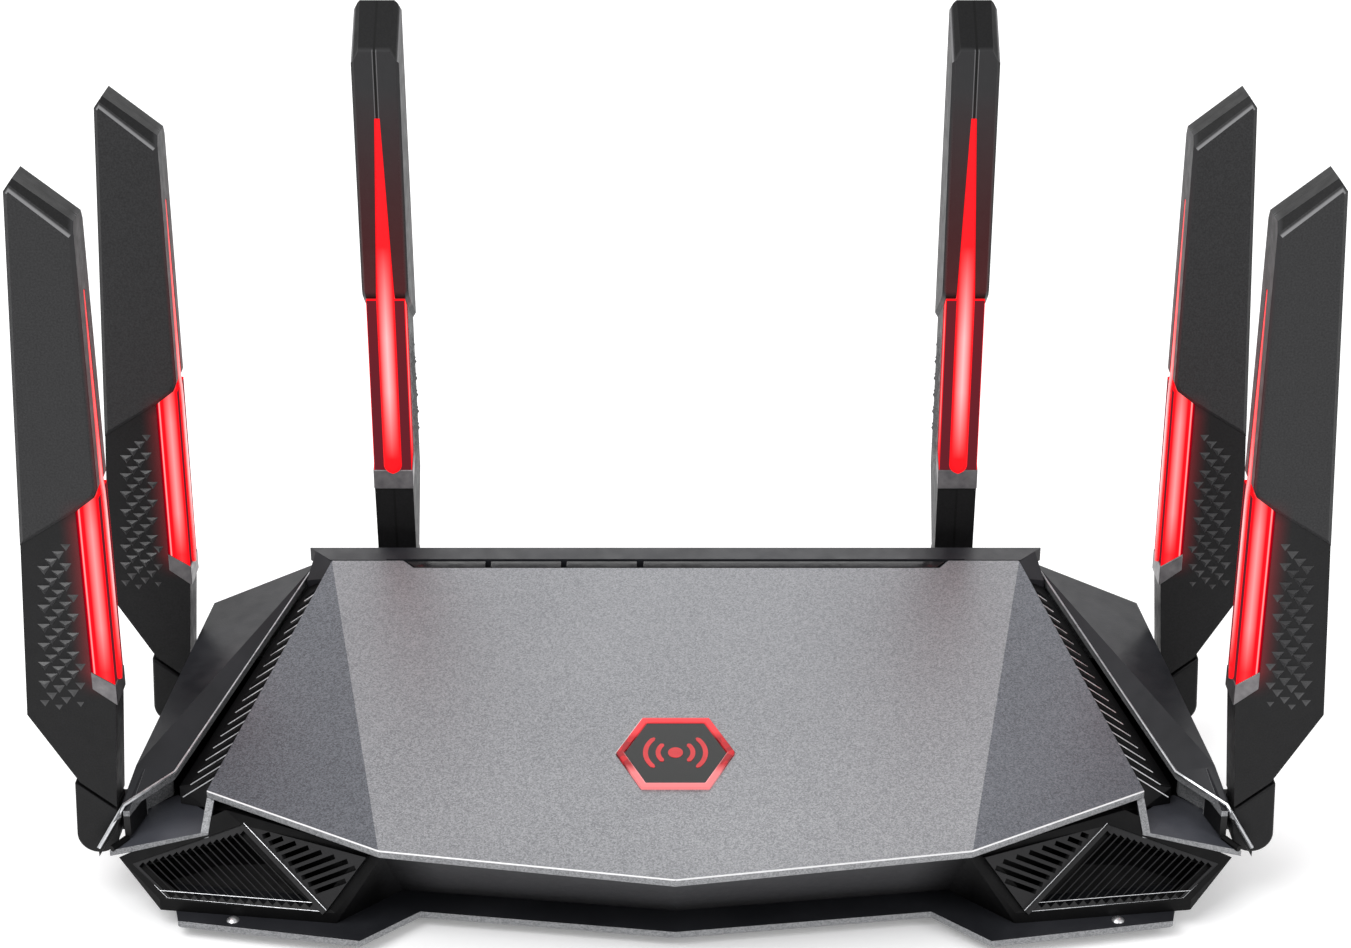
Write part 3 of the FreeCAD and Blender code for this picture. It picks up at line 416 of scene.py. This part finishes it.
# painted light: the deck's charcoal is brightened 3.4 times against the shade under the wings
deckMaterial = edgedPlastic("deckPlastic", deckMask, bandTop=0.72, lift=3.4)
plateMaterial = edgedPlastic("platePlastic", plateMask, bandTop=0.25)
caseMaterial = edgedPlastic("casePlastic")
podMaterial = podPaint()
grilleMaterial = slattedPlastic()
glossBlack = plainPlastic("glossBlack", (0.008, 0.008, 0.009), (0.014, 0.014, 0.016), 0.14,
                          grain=900.0, depth=0.00003)
socketMaterial = plainPlastic("socketPlastic", (0.016, 0.016, 0.018), (0.028, 0.028, 0.03), 0.45)
rubberMaterial = plainPlastic("footRubber", (0.02, 0.02, 0.02), (0.034, 0.034, 0.034), 0.75,
                              grain=1800.0, depth=0.0002)
boardMaterial = plainPlastic("boardMask", (0.008, 0.09, 0.04), (0.015, 0.15, 0.07), 0.35,
                             grain=900.0, depth=0.00006, slow=260.0)
screwMaterial = metal("screwSteel", (0.55, 0.55, 0.56), (0.78, 0.78, 0.8), 0.25)
sinkMaterial = metal("sinkAluminium", (0.5, 0.51, 0.53), (0.66, 0.67, 0.69), 0.35)
tinMaterial = metal("shieldTin", (0.5, 0.5, 0.49), (0.64, 0.64, 0.63), 0.3)
goldMaterial = metal("contactGold", (0.75, 0.55, 0.2), (0.9, 0.68, 0.3), 0.25)
trimMaterial = metal("trimSilver", (0.50, 0.51, 0.53), (0.74, 0.75, 0.77), 0.3)
print("materials made")

roundedCopy("top_panel", 0.25 * mm, panelMaterial, angle=3.0)
for side, node in ((1, "right_wing"), (-1, "left_wing")):
    roundedCopy(node, 0.22 * mm, wingMaterials[side], angle=12.0)
for node in ("right_deck", "left_deck"):
    roundedCopy(node, 0.15 * mm, deckMaterial)
roundedCopy("base_plate", 0.2 * mm, plateMaterial)
for node in ("upper_case", "rear_panel"):
    roundedCopy(node, 0.2 * mm, caseMaterial)
for node in ("sync_button", "lamp_button", "radio_button", "status_window"):
    roundedCopy(node, 0.2 * mm, glossBlack)
dress(["lower_case"], podMaterial)
dress(["right_front_grille", "left_front_grille", "right_side_louvre", "left_side_louvre"], grilleMaterial)
dress(["power_button", "reset_button"], glossBlack)
dress(["network_sockets", "usb_socket", "dc_jack"], socketMaterial)
dress(["main_board"], boardMaterial)
dress(["heat_sink"], sinkMaterial)
dress(["board_components"], tinMaterial)
dress(["case_screws", "hinge_pins"], screwMaterial)
dress(["feet"], rubberMaterial)
print("case dressed")


# the antenna materials work in a blade's own millimetres: w outwards, t through it, h up from its hinge
antennaTones = {
    "lowerDark": (0.0042, 0.0042, 0.0045), "lowerLight": (0.0085, 0.0085, 0.0092),
    "sleeveDark": (0.0175, 0.0175, 0.0182), "sleeveLight": (0.0320, 0.0320, 0.0335),
    "innerEdge": (0.026, 0.026, 0.0275), "crownHighlight": (0.20, 0.20, 0.205), "seamHighlight": (0.16, 0.16, 0.165),
    "seam": (0.002, 0.002, 0.002), "paintedGlowSpill": (0.075, 0.008, 0.010), "paintedGlowSpillEmission": (0.75, 0.02, 0.04),
    "red": (1.0, 0.008, 0.012), "deepRed": (0.10, 0.0, 0.003), "narrowRed": (0.12, 0.016, 0.023),
    "pink": (1.0, 0.38, 0.38), "pale": (1.0, 0.58, 0.58),
    "guideBase": (0.25, 0.0, 0.004), "narrowBase": (0.03, 0.002, 0.003), "rodBase": (0.25, 0.0, 0.003),
}
antennaZones = {
    "sleeveHalf": 5.5, "sleeveFoot": 79.0, "crownFoot": 150.0, "crownHighlight": (5.75, 6.0), "crownSlope": 0.12,
    "seamHalf": 0.3, "seamHighlight": (0.5, 0.16), "edge": (-7.3, -7.7), "edgeFoot": 50.0,
    "inner": (-6.8, -7.6), "innerHeight": (110.0, 150.0),
    "besideWide": (2.6, -2.1), "besideFoot": (38.0, 46.0), "besideTop": (94.0, 86.0),
    "aboveWide": (-7.2, -7.8), "aboveFade": (152.0, 96.0, 0.0, 0.45), "aboveFoot": (90.0, 93.0),
    "guideCore": (-5.7, 1.7), "coreFoot": (46.0, 58.0, 0.1, 1.0), "coreTop": (92.0, 84.0, 0.55, 1.0),
    "paleLine": (-3.0, 0.28), "guideBorder": (-2.75, -2.55),
    "guideEdge": -7.6, "guideTop": 92.6, "guideHalf": 5.1,
    "rodCore": (0.0, 2.1), "rodCoreTop": (108.0, 82.0), "rodCoreFoot": (46.0, 66.0, 0.0, 1.0),
}


# antenna plastic: charcoal, with painted red glow where it lies along the light guide, as tint and as faint
# emission
def antennaPaint():
    shade = Shading("antennaPlastic")
    zone = antennaZones
    w, t, h = shade.blade()
    half = shade.size(t)
    grain = shade.span(shade.noise(2200.0, 3.0), 0.3, 0.7)
    lower = shade.mix(grain, antennaTones["lowerDark"], antennaTones["lowerLight"])
    sleeve = shade.mix(grain, antennaTones["sleeveDark"], antennaTones["sleeveLight"])
    onSleeve = shade.every(shade.over(half, zone["sleeveHalf"]), shade.over(h, zone["sleeveFoot"]))
    body = shade.mix(onSleeve, lower, sleeve)
    inner = shade.every(shade.span(w, *zone["inner"]), shade.span(h, *zone["innerHeight"]))
    body = shade.mix(inner, body, antennaTones["innerEdge"])
    beside = shade.every(shade.span(w, *zone["besideWide"]), shade.span(h, *zone["besideFoot"]),
                         shade.span(h, *zone["besideTop"]))
    above = shade.every(shade.span(w, *zone["aboveWide"]), shade.span(h, *zone["aboveFade"]),
                        shade.span(h, *zone["aboveFoot"]))
    # painted light: the red spill from the light guide, beside it and above it on the narrow edge
    paintedGlowSpill = shade.math("MULTIPLY", shade.math("MAXIMUM", shade.every(beside, beside), above), 0.8)
    body = shade.mix(paintedGlowSpill, body, antennaTones["paintedGlowSpill"])
    edgeOn = shade.every(shade.span(w, *zone["edge"]), shade.over(h, zone["edgeFoot"]))
    # painted highlight: two thin bright lines beside the dark seam on the narrow edge
    seamHighlight = shade.every(shade.bell(half, *zone["seamHighlight"]), edgeOn)
    body = shade.mix(seamHighlight, body, antennaTones["seamHighlight"])
    # painted highlight: a bright line along the crown's sloping edges
    slope = shade.every(shade.over(shade.facing()[2], zone["crownSlope"]), shade.over(h, zone["crownFoot"]))
    crownHighlight = shade.every(shade.span(half, *zone["crownHighlight"]), slope)
    body = shade.mix(crownHighlight, body, antennaTones["crownHighlight"])
    shade.set(Base_Color=shade.mix(shade.below(half, zone["seamHalf"]), body, antennaTones["seam"]))
    shade.set(Emission_Color=shade.mix(paintedGlowSpill, (0.0, 0.0, 0.0), antennaTones["paintedGlowSpillEmission"]))
    shade.set(Emission_Strength=0.13)
    shade.set(Roughness=shade.sheen(300.0, 0.42, 0.54), Specular_IOR_Level=0.22)
    shade.bump(shade.noise(2600.0, 2.0), 0.25, 0.0001)
    return shade.material


# lit acrylic block: dark border, a pale line, then red with a paler core; its narrow face stays deep red
def guidePaint():
    shade = Shading("litGuide")
    zone = antennaZones
    w, t, h = shade.blade()
    core = shade.every(shade.bell(w, *zone["guideCore"]), shade.span(h, *zone["coreFoot"]),
                       shade.span(h, *zone["coreTop"]))
    glow = shade.mix(core, antennaTones["red"], antennaTones["pink"])
    line = shade.math("MULTIPLY", shade.bell(w, *zone["paleLine"]), 0.8)
    glow = shade.mix(line, glow, antennaTones["pale"])
    glow = shade.mix(shade.span(w, *zone["guideBorder"]), glow, antennaTones["deepRed"])
    narrow = shade.every(shade.below(w, zone["guideEdge"]), shade.below(h, zone["guideTop"]),
                         shade.below(shade.size(t), zone["guideHalf"]))
    glow = shade.mix(narrow, glow, antennaTones["narrowRed"])
    shade.set(Base_Color=shade.mix(narrow, antennaTones["guideBase"], antennaTones["narrowBase"]))
    shade.set(Emission_Color=glow, Emission_Strength=antennaSettings["guideGlow"])
    shade.set(Roughness=0.5, Specular_IOR_Level=0.0)
    return shade.material


# lit rod along the narrow face: nearly white down its middle, pure red at its ends and in its point
def rodPaint():
    shade = Shading("litRod")
    zone = antennaZones
    _, t, h = shade.blade()
    core = shade.every(shade.bell(t, *zone["rodCore"]), shade.span(h, *zone["rodCoreTop"]),
                       shade.span(h, *zone["rodCoreFoot"]))
    shade.set(Base_Color=antennaTones["rodBase"], Roughness=0.3, Specular_IOR_Level=0.12)
    shade.set(Emission_Color=shade.mix(core, antennaTones["red"], antennaTones["pale"]))
    shade.set(Emission_Strength=antennaSettings["rodGlow"])
    return shade.material


antennaSettings = {
    "hinges": {  # hinge place in millimetres and the turn of its outward side
        "front_right": (145.1, -41.9, 19.7, 0), "front_left": (-145.1, -41.9, 19.7, 180),
        "side_right": (137.5, 24.6, 19.7, 0), "side_left": (-137.5, 24.6, 19.7, 180),
        "back_right": (78.5, 64.0, 31.5, 90), "back_left": (-78.5, 64.0, 31.5, 90),
    },
    "guideGlow": 1.0, "rodGlow": 1.0, "bladeHalf": 5.35,
    "rodFoot": 41.6, "rodHalf": 2.5, "rodStraightTop": 92.0, "rodTop": 143.5, "rodTopHalf": 0.7,
    "rodFace": -7.85, "rodBack": -7.2, "rodProud": 0.6, "rodLow": 0.14, "rodTipRound": 0.6,
    "clip": [(-2.1, 46.1), (-7.95, 42.35), (-7.95, 36.8), (-2.1, 41.4)], "clipHalf": 5.5,
    "crown": [(-8.0, 6.3, 157.5), (-8.0, 4.2, 161.5), (5.0, 4.6, 171.9)],
    "gripWide": 3.6, "gripTall": 2.7, "gripRise": 0.95, "gripSunk": 0.12, "gripStart": (2.9, 79.0),
    "gripStep": (1.93, -2.0), "gripRow": (0.45, -5.2), "gripFoot": 37.0, "gripInner": 0.2,
    "outerEdge": ((15.0, 34.2, 80.3), (3.3, 14.6, 11.8)), "gripMargins": (4.0, 2.2),  # heights and their w
}
antennaPlastic = antennaPaint()
guideMaterial = guidePaint()
rodMaterial = rodPaint()
# the grip points are painted far lighter than the blade as a highlight on their facets; their gloss is real
gripHighlightPlastic = plainPlastic("gripHighlightPlastic", (0.024, 0.024, 0.025), (0.042, 0.042, 0.044), 0.36, gloss=0.5)
clipMaterial = metal("clipSatin", (0.13, 0.125, 0.13), (0.21, 0.20, 0.205), 0.34)


# the three directions of an antenna's own frame and its hinge, in metres
def bladeFrame(name):
    x, y, z, turn = antennaSettings["hinges"][name]
    turn = math.radians(turn)
    out = np.array((math.cos(turn), math.sin(turn), 0.0))
    across = np.array((-math.sin(turn), math.cos(turn), 0.0))
    return np.stack([out, across, np.array((0.0, 0.0, 1.0))]), np.array((x, y, z)) * mm


# blade millimetres to the object's metres: hinge plus each direction times its share
def toObject(name, points):
    axes, hinge = bladeFrame(name)
    return hinge + points @ axes * mm


# keeps each point's blade millimetres on the mesh, for the antenna materials
def markBlade(piece, name):
    axes, hinge = bladeFrame(name)
    points = np.empty(len(piece.data.vertices) * 3)
    piece.data.vertices.foreach_get("co", points)
    local = (points.reshape(-1, 3) - hinge) @ axes.T / mm
    mark = piece.data.attributes.new("blade", "FLOAT_VECTOR", "POINT")
    mark.data.foreach_set("vector", local.ravel().astype(np.float32))


# half-round bar: its half width follows a circle at the foot, is steady, then narrows evenly to the point
def lightRod(name):
    s = antennaSettings
    foot = s["rodFoot"] + s["rodHalf"] * (1 - np.cos(np.linspace(0.05, math.pi / 2, 9)))
    tip = s["rodTop"] - s["rodTipRound"] * (1 - np.sin(np.linspace(0.0, 1.45, 5)))
    straight = np.linspace(foot[-1] + 4, s["rodStraightTop"], 12)
    taper = np.linspace(96, s["rodTop"] - 0.7, 12)
    h = np.concatenate([foot, straight, taper, tip])
    half = np.interp(h, [0, s["rodStraightTop"], s["rodTop"]], [s["rodHalf"], s["rodHalf"], s["rodTopHalf"]])
    down = np.clip(s["rodFoot"] + s["rodHalf"] - h, 0, s["rodHalf"])
    half = np.where(down > 0, np.sqrt(s["rodHalf"] ** 2 - down ** 2), half)
    up = np.clip((h - s["rodTop"] + s["rodTipRound"]) / 0.62, 0, 1)
    half = half * np.sqrt(1 - up ** 2)
    angle = np.linspace(-math.pi / 2, math.pi / 2, 11)
    t = half[:, None] * np.sin(angle)
    rise = np.interp(h, [0, 91, 96, 200], [s["rodProud"], s["rodProud"], s["rodLow"], s["rodLow"]])
    w = s["rodFace"] - rise[:, None] * np.cos(angle)
    front = np.stack([w, t, np.repeat(h[:, None], 11, 1)], -1)
    sides = half[:, None] * np.array([0.9, -0.9])
    back = np.stack([np.full((len(h), 2), s["rodBack"]), sides, np.repeat(h[:, None], 2, 1)], -1)
    points = toObject(name, np.concatenate([front, back], 1).reshape(-1, 3))
    piece = addPiece(name + "_light_rod", points, ringFaces(len(h), 13), name + "_antenna",
                     rodMaterial, True)
    outwards(piece)
    markBlade(piece, name)


# a flat outline in the blade's broad plane carried from one broad face to the other
def bladePrism(pieceName, name, outline, half, material, width):
    flat = np.array(outline, float)
    rings = [np.insert(flat, 1, side * half, axis=1) for side in (-1, 1)]
    points = toObject(name, np.concatenate(rings))
    piece = addPiece(pieceName, points, ringFaces(2, len(flat)), name + "_antenna", material)
    outwards(piece)
    roundEdges(piece, width * mm, 3)
    markBlade(piece, name)


# three-sided points: the start plus steps along a slanted lattice, on both broad faces, fading at the edges
def gripField(name):
    s = antennaSettings
    i, j = (grid.ravel() for grid in np.meshgrid(np.arange(-9, 9), np.arange(0, 10), indexing="ij"))
    w = s["gripStart"][0] + s["gripStep"][0] * i + s["gripRow"][0] * j
    h = s["gripStart"][1] + s["gripStep"][1] * i + s["gripRow"][1] * j
    outerEdge = np.interp(h, *s["outerEdge"])
    sleeveEdge = 87.2 - 0.64 * (w + 2.1)  # the sleeve's lower edge slopes across the blade
    across, upwards = s["gripMargins"]
    keep = (w > s["gripInner"]) & (w < outerEdge - across) & (h > s["gripFoot"]) & (h < sleeveEdge - upwards)
    w, h = w[keep], h[keep]
    fade = np.interp(h, [s["gripFoot"], 50, 72, 80], [0.12, 1, 1, 0.4])
    fade = fade * np.interp(w, [s["gripInner"], s["gripInner"] + 2.0], [0.35, 1])
    half, tall = s["gripWide"] / 2, s["gripTall"]
    corner = np.array([(-half, 0), (half, 0), (0, -tall), (0, -0.3 * tall)])
    rise = np.stack([np.full_like(fade, -s["gripSunk"])] * 3 + [s["gripRise"] * fade], -1)
    points, faces = [], []
    for side in (-1, 1):
        through = side * (s["bladeHalf"] + rise)
        place = np.stack([w[:, None] + corner[:, 0], through, h[:, None] + corner[:, 1]], -1)
        start = (np.arange(len(w)) * 4 + len(w) * 4 * (side > 0))[:, None]
        face = np.array([(0, 1, 3), (1, 2, 3), (2, 0, 3), (0, 2, 1)])
        points.append(place.reshape(-1, 3))
        faces.append((start[:, :, None] + face).reshape(-1, 3))
    points, faces = toObject(name, np.concatenate(points)), np.concatenate(faces).tolist()
    piece = addPiece(name + "_grip_points", points, faces, name + "_antenna", gripHighlightPlastic)
    outwards(piece)
    markBlade(piece, name)


# the plane through the three crown points on one side of the blade, facing off the corner
def crownPlane(name, side):
    points = toObject(name, np.array(antennaSettings["crown"]) * (1, side, 1))
    normal = np.cross(points[1] - points[0], points[2] - points[0]) * side
    return tuple(points[0]), tuple(normal / np.linalg.norm(normal))


for name in antennaSettings["hinges"]:
    for half, side in (("_antenna_shell_a", 1), ("_antenna_shell_b", -1)):
        crown = [crownPlane(name, side)]
        markBlade(roundedCopy(name + half, 0.22 * mm, antennaPlastic, planes=crown), name)
    markBlade(roundedCopy(name + "_knuckle", 0.7 * mm, antennaPlastic, 3, 28.0), name)
    markBlade(roundedCopy(name + "_light_guide", 0.18 * mm, guideMaterial), name)
    lightRod(name)
    bladePrism(name + "_clip", name, antennaSettings["clip"], antennaSettings["clipHalf"], clipMaterial,
               0.2)
    gripField(name)
dress([name + "_aerial" for name in antennaSettings["hinges"]], tinMaterial)
print("antennas made")

# badge: its ring glows, and a plain radiating sign lies on the smoked glass
badgeSettings = {
    "place": (0.0, -34.9, 53 + 0.2231 * (-34.9 - 42.0)), "tilt": math.atan(0.2231), "glassTop": 0.3,
    "dot": 1.9, "radii": (4.4, 7.6), "wide": 1.25, "spread": 46.0, "steps": 33, "raised": 0.12,
    "ringGlow": 0.85, "signGlow": 0.5, "rearFade": (-0.0300, -0.0275), "frontHighlight": (-0.0395, -0.0425),
}


# lit plastic under a clear coat, mottled between two glows
def glowPaint(name, base, first, second, strength, rough):
    shade = Shading(name)
    shade.set(Base_Color=base, Roughness=rough, Coat_Weight=1.0, Coat_Roughness=0.05)
    shade.set(Emission_Color=shade.mix(shade.span(shade.noise(210.0, 2.0), 0.35, 0.65), first, second))
    shade.set(Emission_Strength=strength)
    return shade.material


# badge millimetres to the object's metres: across, up the slope, and out of the facet
def onFacet(points):
    tilt = badgeSettings["tilt"]
    axes = np.array([(1, 0, 0), (0, math.cos(tilt), math.sin(tilt)), (0, -math.sin(tilt), math.cos(tilt))])
    return (np.array(badgeSettings["place"]) + points @ axes) * mm


# arcs: radius times cosine and sine of an angle, as four-cornered sections joined along the arc
def radiatingSign(material):
    s = badgeSettings
    low, high = s["glassTop"] - 0.05, s["glassTop"] + s["raised"]
    steps = s["steps"]
    angle = np.radians(np.linspace(-s["spread"], s["spread"], steps))
    points, faces, count = [], [], 0
    for way in (1, -1):
        for radius in s["radii"]:
            narrowed = np.interp(np.arange(steps), [0, 2, steps - 3, steps - 1], [0.35, 1, 1, 0.35])
            ends = narrowed * s["wide"] / 2
            r = np.stack([radius - ends, radius + ends, radius + ends, radius - ends], 1)
            n = np.broadcast_to(np.array([low, low, high, high]), r.shape)
            rings = np.stack([way * r * np.cos(angle)[:, None], r * np.sin(angle)[:, None], n], -1)
            points.append(rings.reshape(-1, 3))
            faces += [[count + k for k in face] for face in ringFaces(steps, 4)]
            count += 4 * steps
    turn = np.linspace(0, 2 * math.pi, 41)[:-1]
    for n in (low, high):
        points.append(np.stack([s["dot"] * np.cos(turn), s["dot"] * np.sin(turn), np.full(40, n)], 1))
    faces += [[count + k for k in face] for face in ringFaces(2, 40)]
    sign = addPiece("badge_sign", onFacet(np.concatenate(points)), faces, "case", material)
    outwards(sign)


# clear red ring: glowing bright along its rear edge, dark and streaked down its sides, with a painted pink
# highlight along its front edge
def ringPaint():
    shade = Shading("badgeGlow")
    py = shade.place()[1]
    side = shade.mix(shade.span(shade.cells(420.0), 0.2, 0.5), (0.42, 0.003, 0.008), (0.10, 0.0, 0.003))
    glow = shade.mix(shade.span(py, *badgeSettings["rearFade"]), side, (0.86, 0.06, 0.07))
    # painted highlight: pale pink along the front edge
    glow = shade.mix(shade.span(py, *badgeSettings["frontHighlight"]), glow, (0.92, 0.30, 0.31))
    shade.set(Base_Color=(0.30, 0.0, 0.004), Roughness=0.12, Coat_Weight=1.0, Coat_Roughness=0.05)
    shade.set(Emission_Color=glow, Emission_Strength=badgeSettings["ringGlow"])
    return shade.material


ringMaterial = ringPaint()
signMaterial = glowPaint("signGlow", (0.3, 0.0, 0.004), (0.60, 0.006, 0.010), (0.85, 0.02, 0.03),
                         badgeSettings["signGlow"], 0.3)
lensMaterial = glowPaint("smokedLens", (0.012, 0.014, 0.0135), (0.002, 0.0, 0.0), (0.006, 0.0, 0.0),
                         0.35, 0.16)
roundedCopy("badge_bezel", 0.3 * mm, ringMaterial, 3)
roundedCopy("badge_lens", 0.25 * mm, lensMaterial, 2)
radiatingSign(signMaterial)
print("badge made")


def sideName(side):
    return "right" if side > 0 else "left"


# round rods: at each point of a path, a ring square to the path with the radius there
def rods(name, paths, radius, material, around=6):
    points, faces, count = [], [], 0
    turn = np.linspace(0, 2 * math.pi, around + 1)[:-1]
    for path in paths:
        path = np.array(path, float)
        along = np.gradient(path, axis=0)
        along /= np.linalg.norm(along, axis=1)[:, None]
        side = np.cross(along, (0.31, 0.17, 0.93))
        side /= np.linalg.norm(side, axis=1)[:, None]
        up = np.cross(along, side)
        ring = side[:, None] * np.cos(turn)[:, None] + up[:, None] * np.sin(turn)[:, None]
        points.append((path[:, None] + np.reshape(radius, (-1, 1, 1)) * ring).reshape(-1, 3))
        faces += [[count + k for k in face] for face in ringFaces(len(path), around)]
        count += len(path) * around
    piece = addPiece(name, np.concatenate(points) * mm, faces, "case", material, True)
    outwards(piece)


# silver rods as painted highlights along the raised edges that frame the black corner grilles
grilleHighlightSettings = {
    "root": (86.5, -64.9, 8.2), "top": (108.3, -49.0, 23.6),
    "side": (126.6, -58.7, 8.2), "rim": (136.0, -52.1, 14.0),
    "radius": 0.10, "second": 0.10, "raised": 0.04, "barRaised": 0.75, "barShift": (-0.45, 0.0, 0.25),
}


def grilleHighlightLines(side):
    s = grilleHighlightSettings
    root, top, low, rim = (np.array(s[key]) * (side, 1, 1) for key in ("root", "top", "side", "rim"))
    out = np.cross(low - root, top - root) * side
    out /= np.linalg.norm(out)
    lines = [(root, top), (root, low), (low, rim)]
    lines.append((root + (top - root) * s["second"], low + (rim - low) * s["second"] * 2.2))
    shift = np.array(s["barShift"]) * (side, 1, 1)  # the first line lies on the valley's bar
    lift = [out * s["barRaised"] + shift] + [out * s["raised"]] * 3
    paths = []
    for (start, end), up in zip(lines, lift):
        paths.append([start + (end - start) * share + up for share in (0.0, 0.5, 1.0)])
    rods(sideName(side) + "_grille_highlight_lines", paths, s["radius"], trimMaterial)


# silver rods as painted highlights along the front edges of the black louvre slats, each on the sloping
# plate from beside the panel to beside the wing
louvreSettings = {
    "innerRear": (96.3, 37.0), "innerFront": (116.4, -38.0),
    "outerRear": (101.0, 40.0), "outerFront": (126.6, -33.2),
    "slats": 18, "radius": 0.17, "forward": 1.12, "slant": 0.33, "along": (0.04, 0.5, 0.92),
    "height": 49.42, "slopes": (-0.4836, 0.1317), "sag": 0.45,
}


# height falls outwards and towards the front, and the outer ends of the rear slats drop a little more
def louvreEdgeHighlights(side):
    s = louvreSettings
    share = ((np.arange(s["slats"]) + 0.75) / (s["slats"] + 0.5))[:, None]
    inner = np.array(s["innerRear"]) * (1 - share) + np.array(s["innerFront"]) * share
    outer = np.array(s["outerRear"]) * (1 - share) + np.array(s["outerFront"]) * share
    outer[:, 1] = inner[:, 1] - (outer[:, 0] - inner[:, 0]) * s["slant"]
    lines = []
    for part in s["along"]:
        end = inner + (outer - inner) * part - (0, s["forward"])
        z = s["height"] + (end - s["innerRear"]) @ s["slopes"] - s["sag"] * part * (1 - share[:, 0])
        lines.append(np.stack([side * end[:, 0], end[:, 1], z], 1))
    rods(sideName(side) + "_louvre_edge_highlights", np.stack(lines, 1), s["radius"], trimMaterial)


# the bright rim runs from a wing's tip to the rear strip; the dark bead closes the gap from deck to tip
rimSettings = {
    "rim": [(144.3, -51.6, 18.3), (138.3, -46.1, 27.5), (127.6, -32.7, 29.2), (113.9, 6.9, 39.5),
            (100.2, 45.7, 49.9)],
    "rimRadius": (0.5, 0.52, 0.45, 0.27, 0.27),
    "bead": [(138.0, -46.3, 18.1), (139.6, -48.6, 17.9), (141.2, -50.9, 17.7)], "beadRadius": 0.9,
}


def wingRim(side):
    s = rimSettings
    rim, bead = (np.array(s[key]) * (side, 1, 1) for key in ("rim", "bead"))
    rods(sideName(side) + "_wing_rim", [rim], s["rimRadius"], trimMaterial)
    rods(sideName(side) + "_deck_bead", [bead], s["beadRadius"], podMaterial)


for side in (1, -1):
    grilleHighlightLines(side)
    louvreEdgeHighlights(side)
    wingRim(side)

# contacts in the rear sockets: eight sprung wires in each network port, four strips in the other socket
contactSettings = {
    "ports": (-34.0, -17.5, -1.0, 15.5, 36.0), "pitch": 1.02, "floor": 13.7, "mouth": 45.2, "radius": 0.2,
    "usb": -56.0, "strips": (-3.5, -1.0, 1.0, 3.5), "stripRadius": 0.4, "tongue": 3.85,
}


def portContacts():
    s = contactSettings
    wires = []
    for port in s["ports"]:
        for k in range(8):
            x = port + (k - 3.5) * s["pitch"]
            wires.append([(x, s["mouth"], s["floor"] + 9.9), (x, s["mouth"] - 3.5, s["floor"] + 8.6),
                          (x, s["mouth"] - 8.0, s["floor"] + 5.6), (x, s["mouth"] - 10.5, s["floor"] + 5.0)])
    rods("port_contacts", wires, s["radius"], goldMaterial)
    height = s["floor"] + s["tongue"]
    strips = [[(s["usb"] + x, 36.2, height), (s["usb"] + x, 46.0, height)] for x in s["strips"]]
    rods("usb_contacts", strips, s["stripRadius"], goldMaterial)


portContacts()
print("trim and contacts made")

stageSettings = {
    "floorTone": (0.93, 0.93, 0.935), "worldTone": (1.0, 1.0, 1.0), "floorGlow": 0.22, "worldPower": 0.62,
    "floorHalf": 6.0, "aim": (0.0, 0.0, 0.05),
    "lights": [  # name, place in metres, size, power
        ("keyLight", (-0.5, -0.5, 1.1), (0.9, 0.7), 9.0),
        ("backLight", (0.0, 1.1, 0.95), (1.5, 0.5), 7.0),
        ("fillLight", (0.8, -0.7, 0.6), (0.5, 0.8), 3.0),
    ],
}


def makeStage():
    half = stageSettings["floorHalf"]
    corners = [(-half, -half, 0), (half, -half, 0), (half, half, 0), (-half, half, 0)]
    mesh = bpy.data.meshes.new("floor")
    mesh.from_pydata(corners, [], [(0, 1, 2, 3)])
    floor = bpy.data.objects.new("floor", mesh)
    bpy.context.scene.collection.objects.link(floor)
    shade = Shading("floorPaint")
    shade.set(Base_Color=stageSettings["floorTone"], Roughness=0.8, Emission_Color=(1.0, 1.0, 1.0))
    shade.set(Emission_Strength=stageSettings["floorGlow"])
    mesh.materials.append(shade.material)
    bpy.context.scene.view_settings.view_transform = "Standard"
    world = bpy.data.worlds.new("studio")
    bpy.context.scene.world = world
    world.use_nodes = True
    sky = world.node_tree.nodes["Background"]
    sky.inputs["Color"].default_value = (*stageSettings["worldTone"], 1.0)
    sky.inputs["Strength"].default_value = stageSettings["worldPower"]
    for name, place, area, power in stageSettings["lights"]:
        light = bpy.data.lights.new(name, "AREA")
        light.shape = "RECTANGLE"
        light.size, light.size_y = area
        light.energy = power
        lamp = bpy.data.objects.new(name, light)
        bpy.context.scene.collection.objects.link(lamp)
        lamp.location = place
        aim = np.array(stageSettings["aim"]) - np.array(place)
        down = math.acos(-aim[2] / np.linalg.norm(aim))
        lamp.rotation_euler = (down, 0.0, math.atan2(aim[1], aim[0]) - math.pi / 2)


cameraSettings = {"place": (0.0, -0.6370, 0.3814), "tilt": 66.0, "lens": 72.69, "sensor": 36.0}


def makeCamera():
    lens = bpy.data.cameras.new("camera")
    lens.lens = cameraSettings["lens"]
    lens.sensor_width = cameraSettings["sensor"]
    camera = bpy.data.objects.new("camera", lens)
    bpy.context.scene.collection.objects.link(camera)
    camera.location = cameraSettings["place"]
    camera.rotation_euler = (math.radians(cameraSettings["tilt"]), 0.0, 0.0)
    bpy.context.scene.camera = camera


makeStage()
makeCamera()
print("stage set")
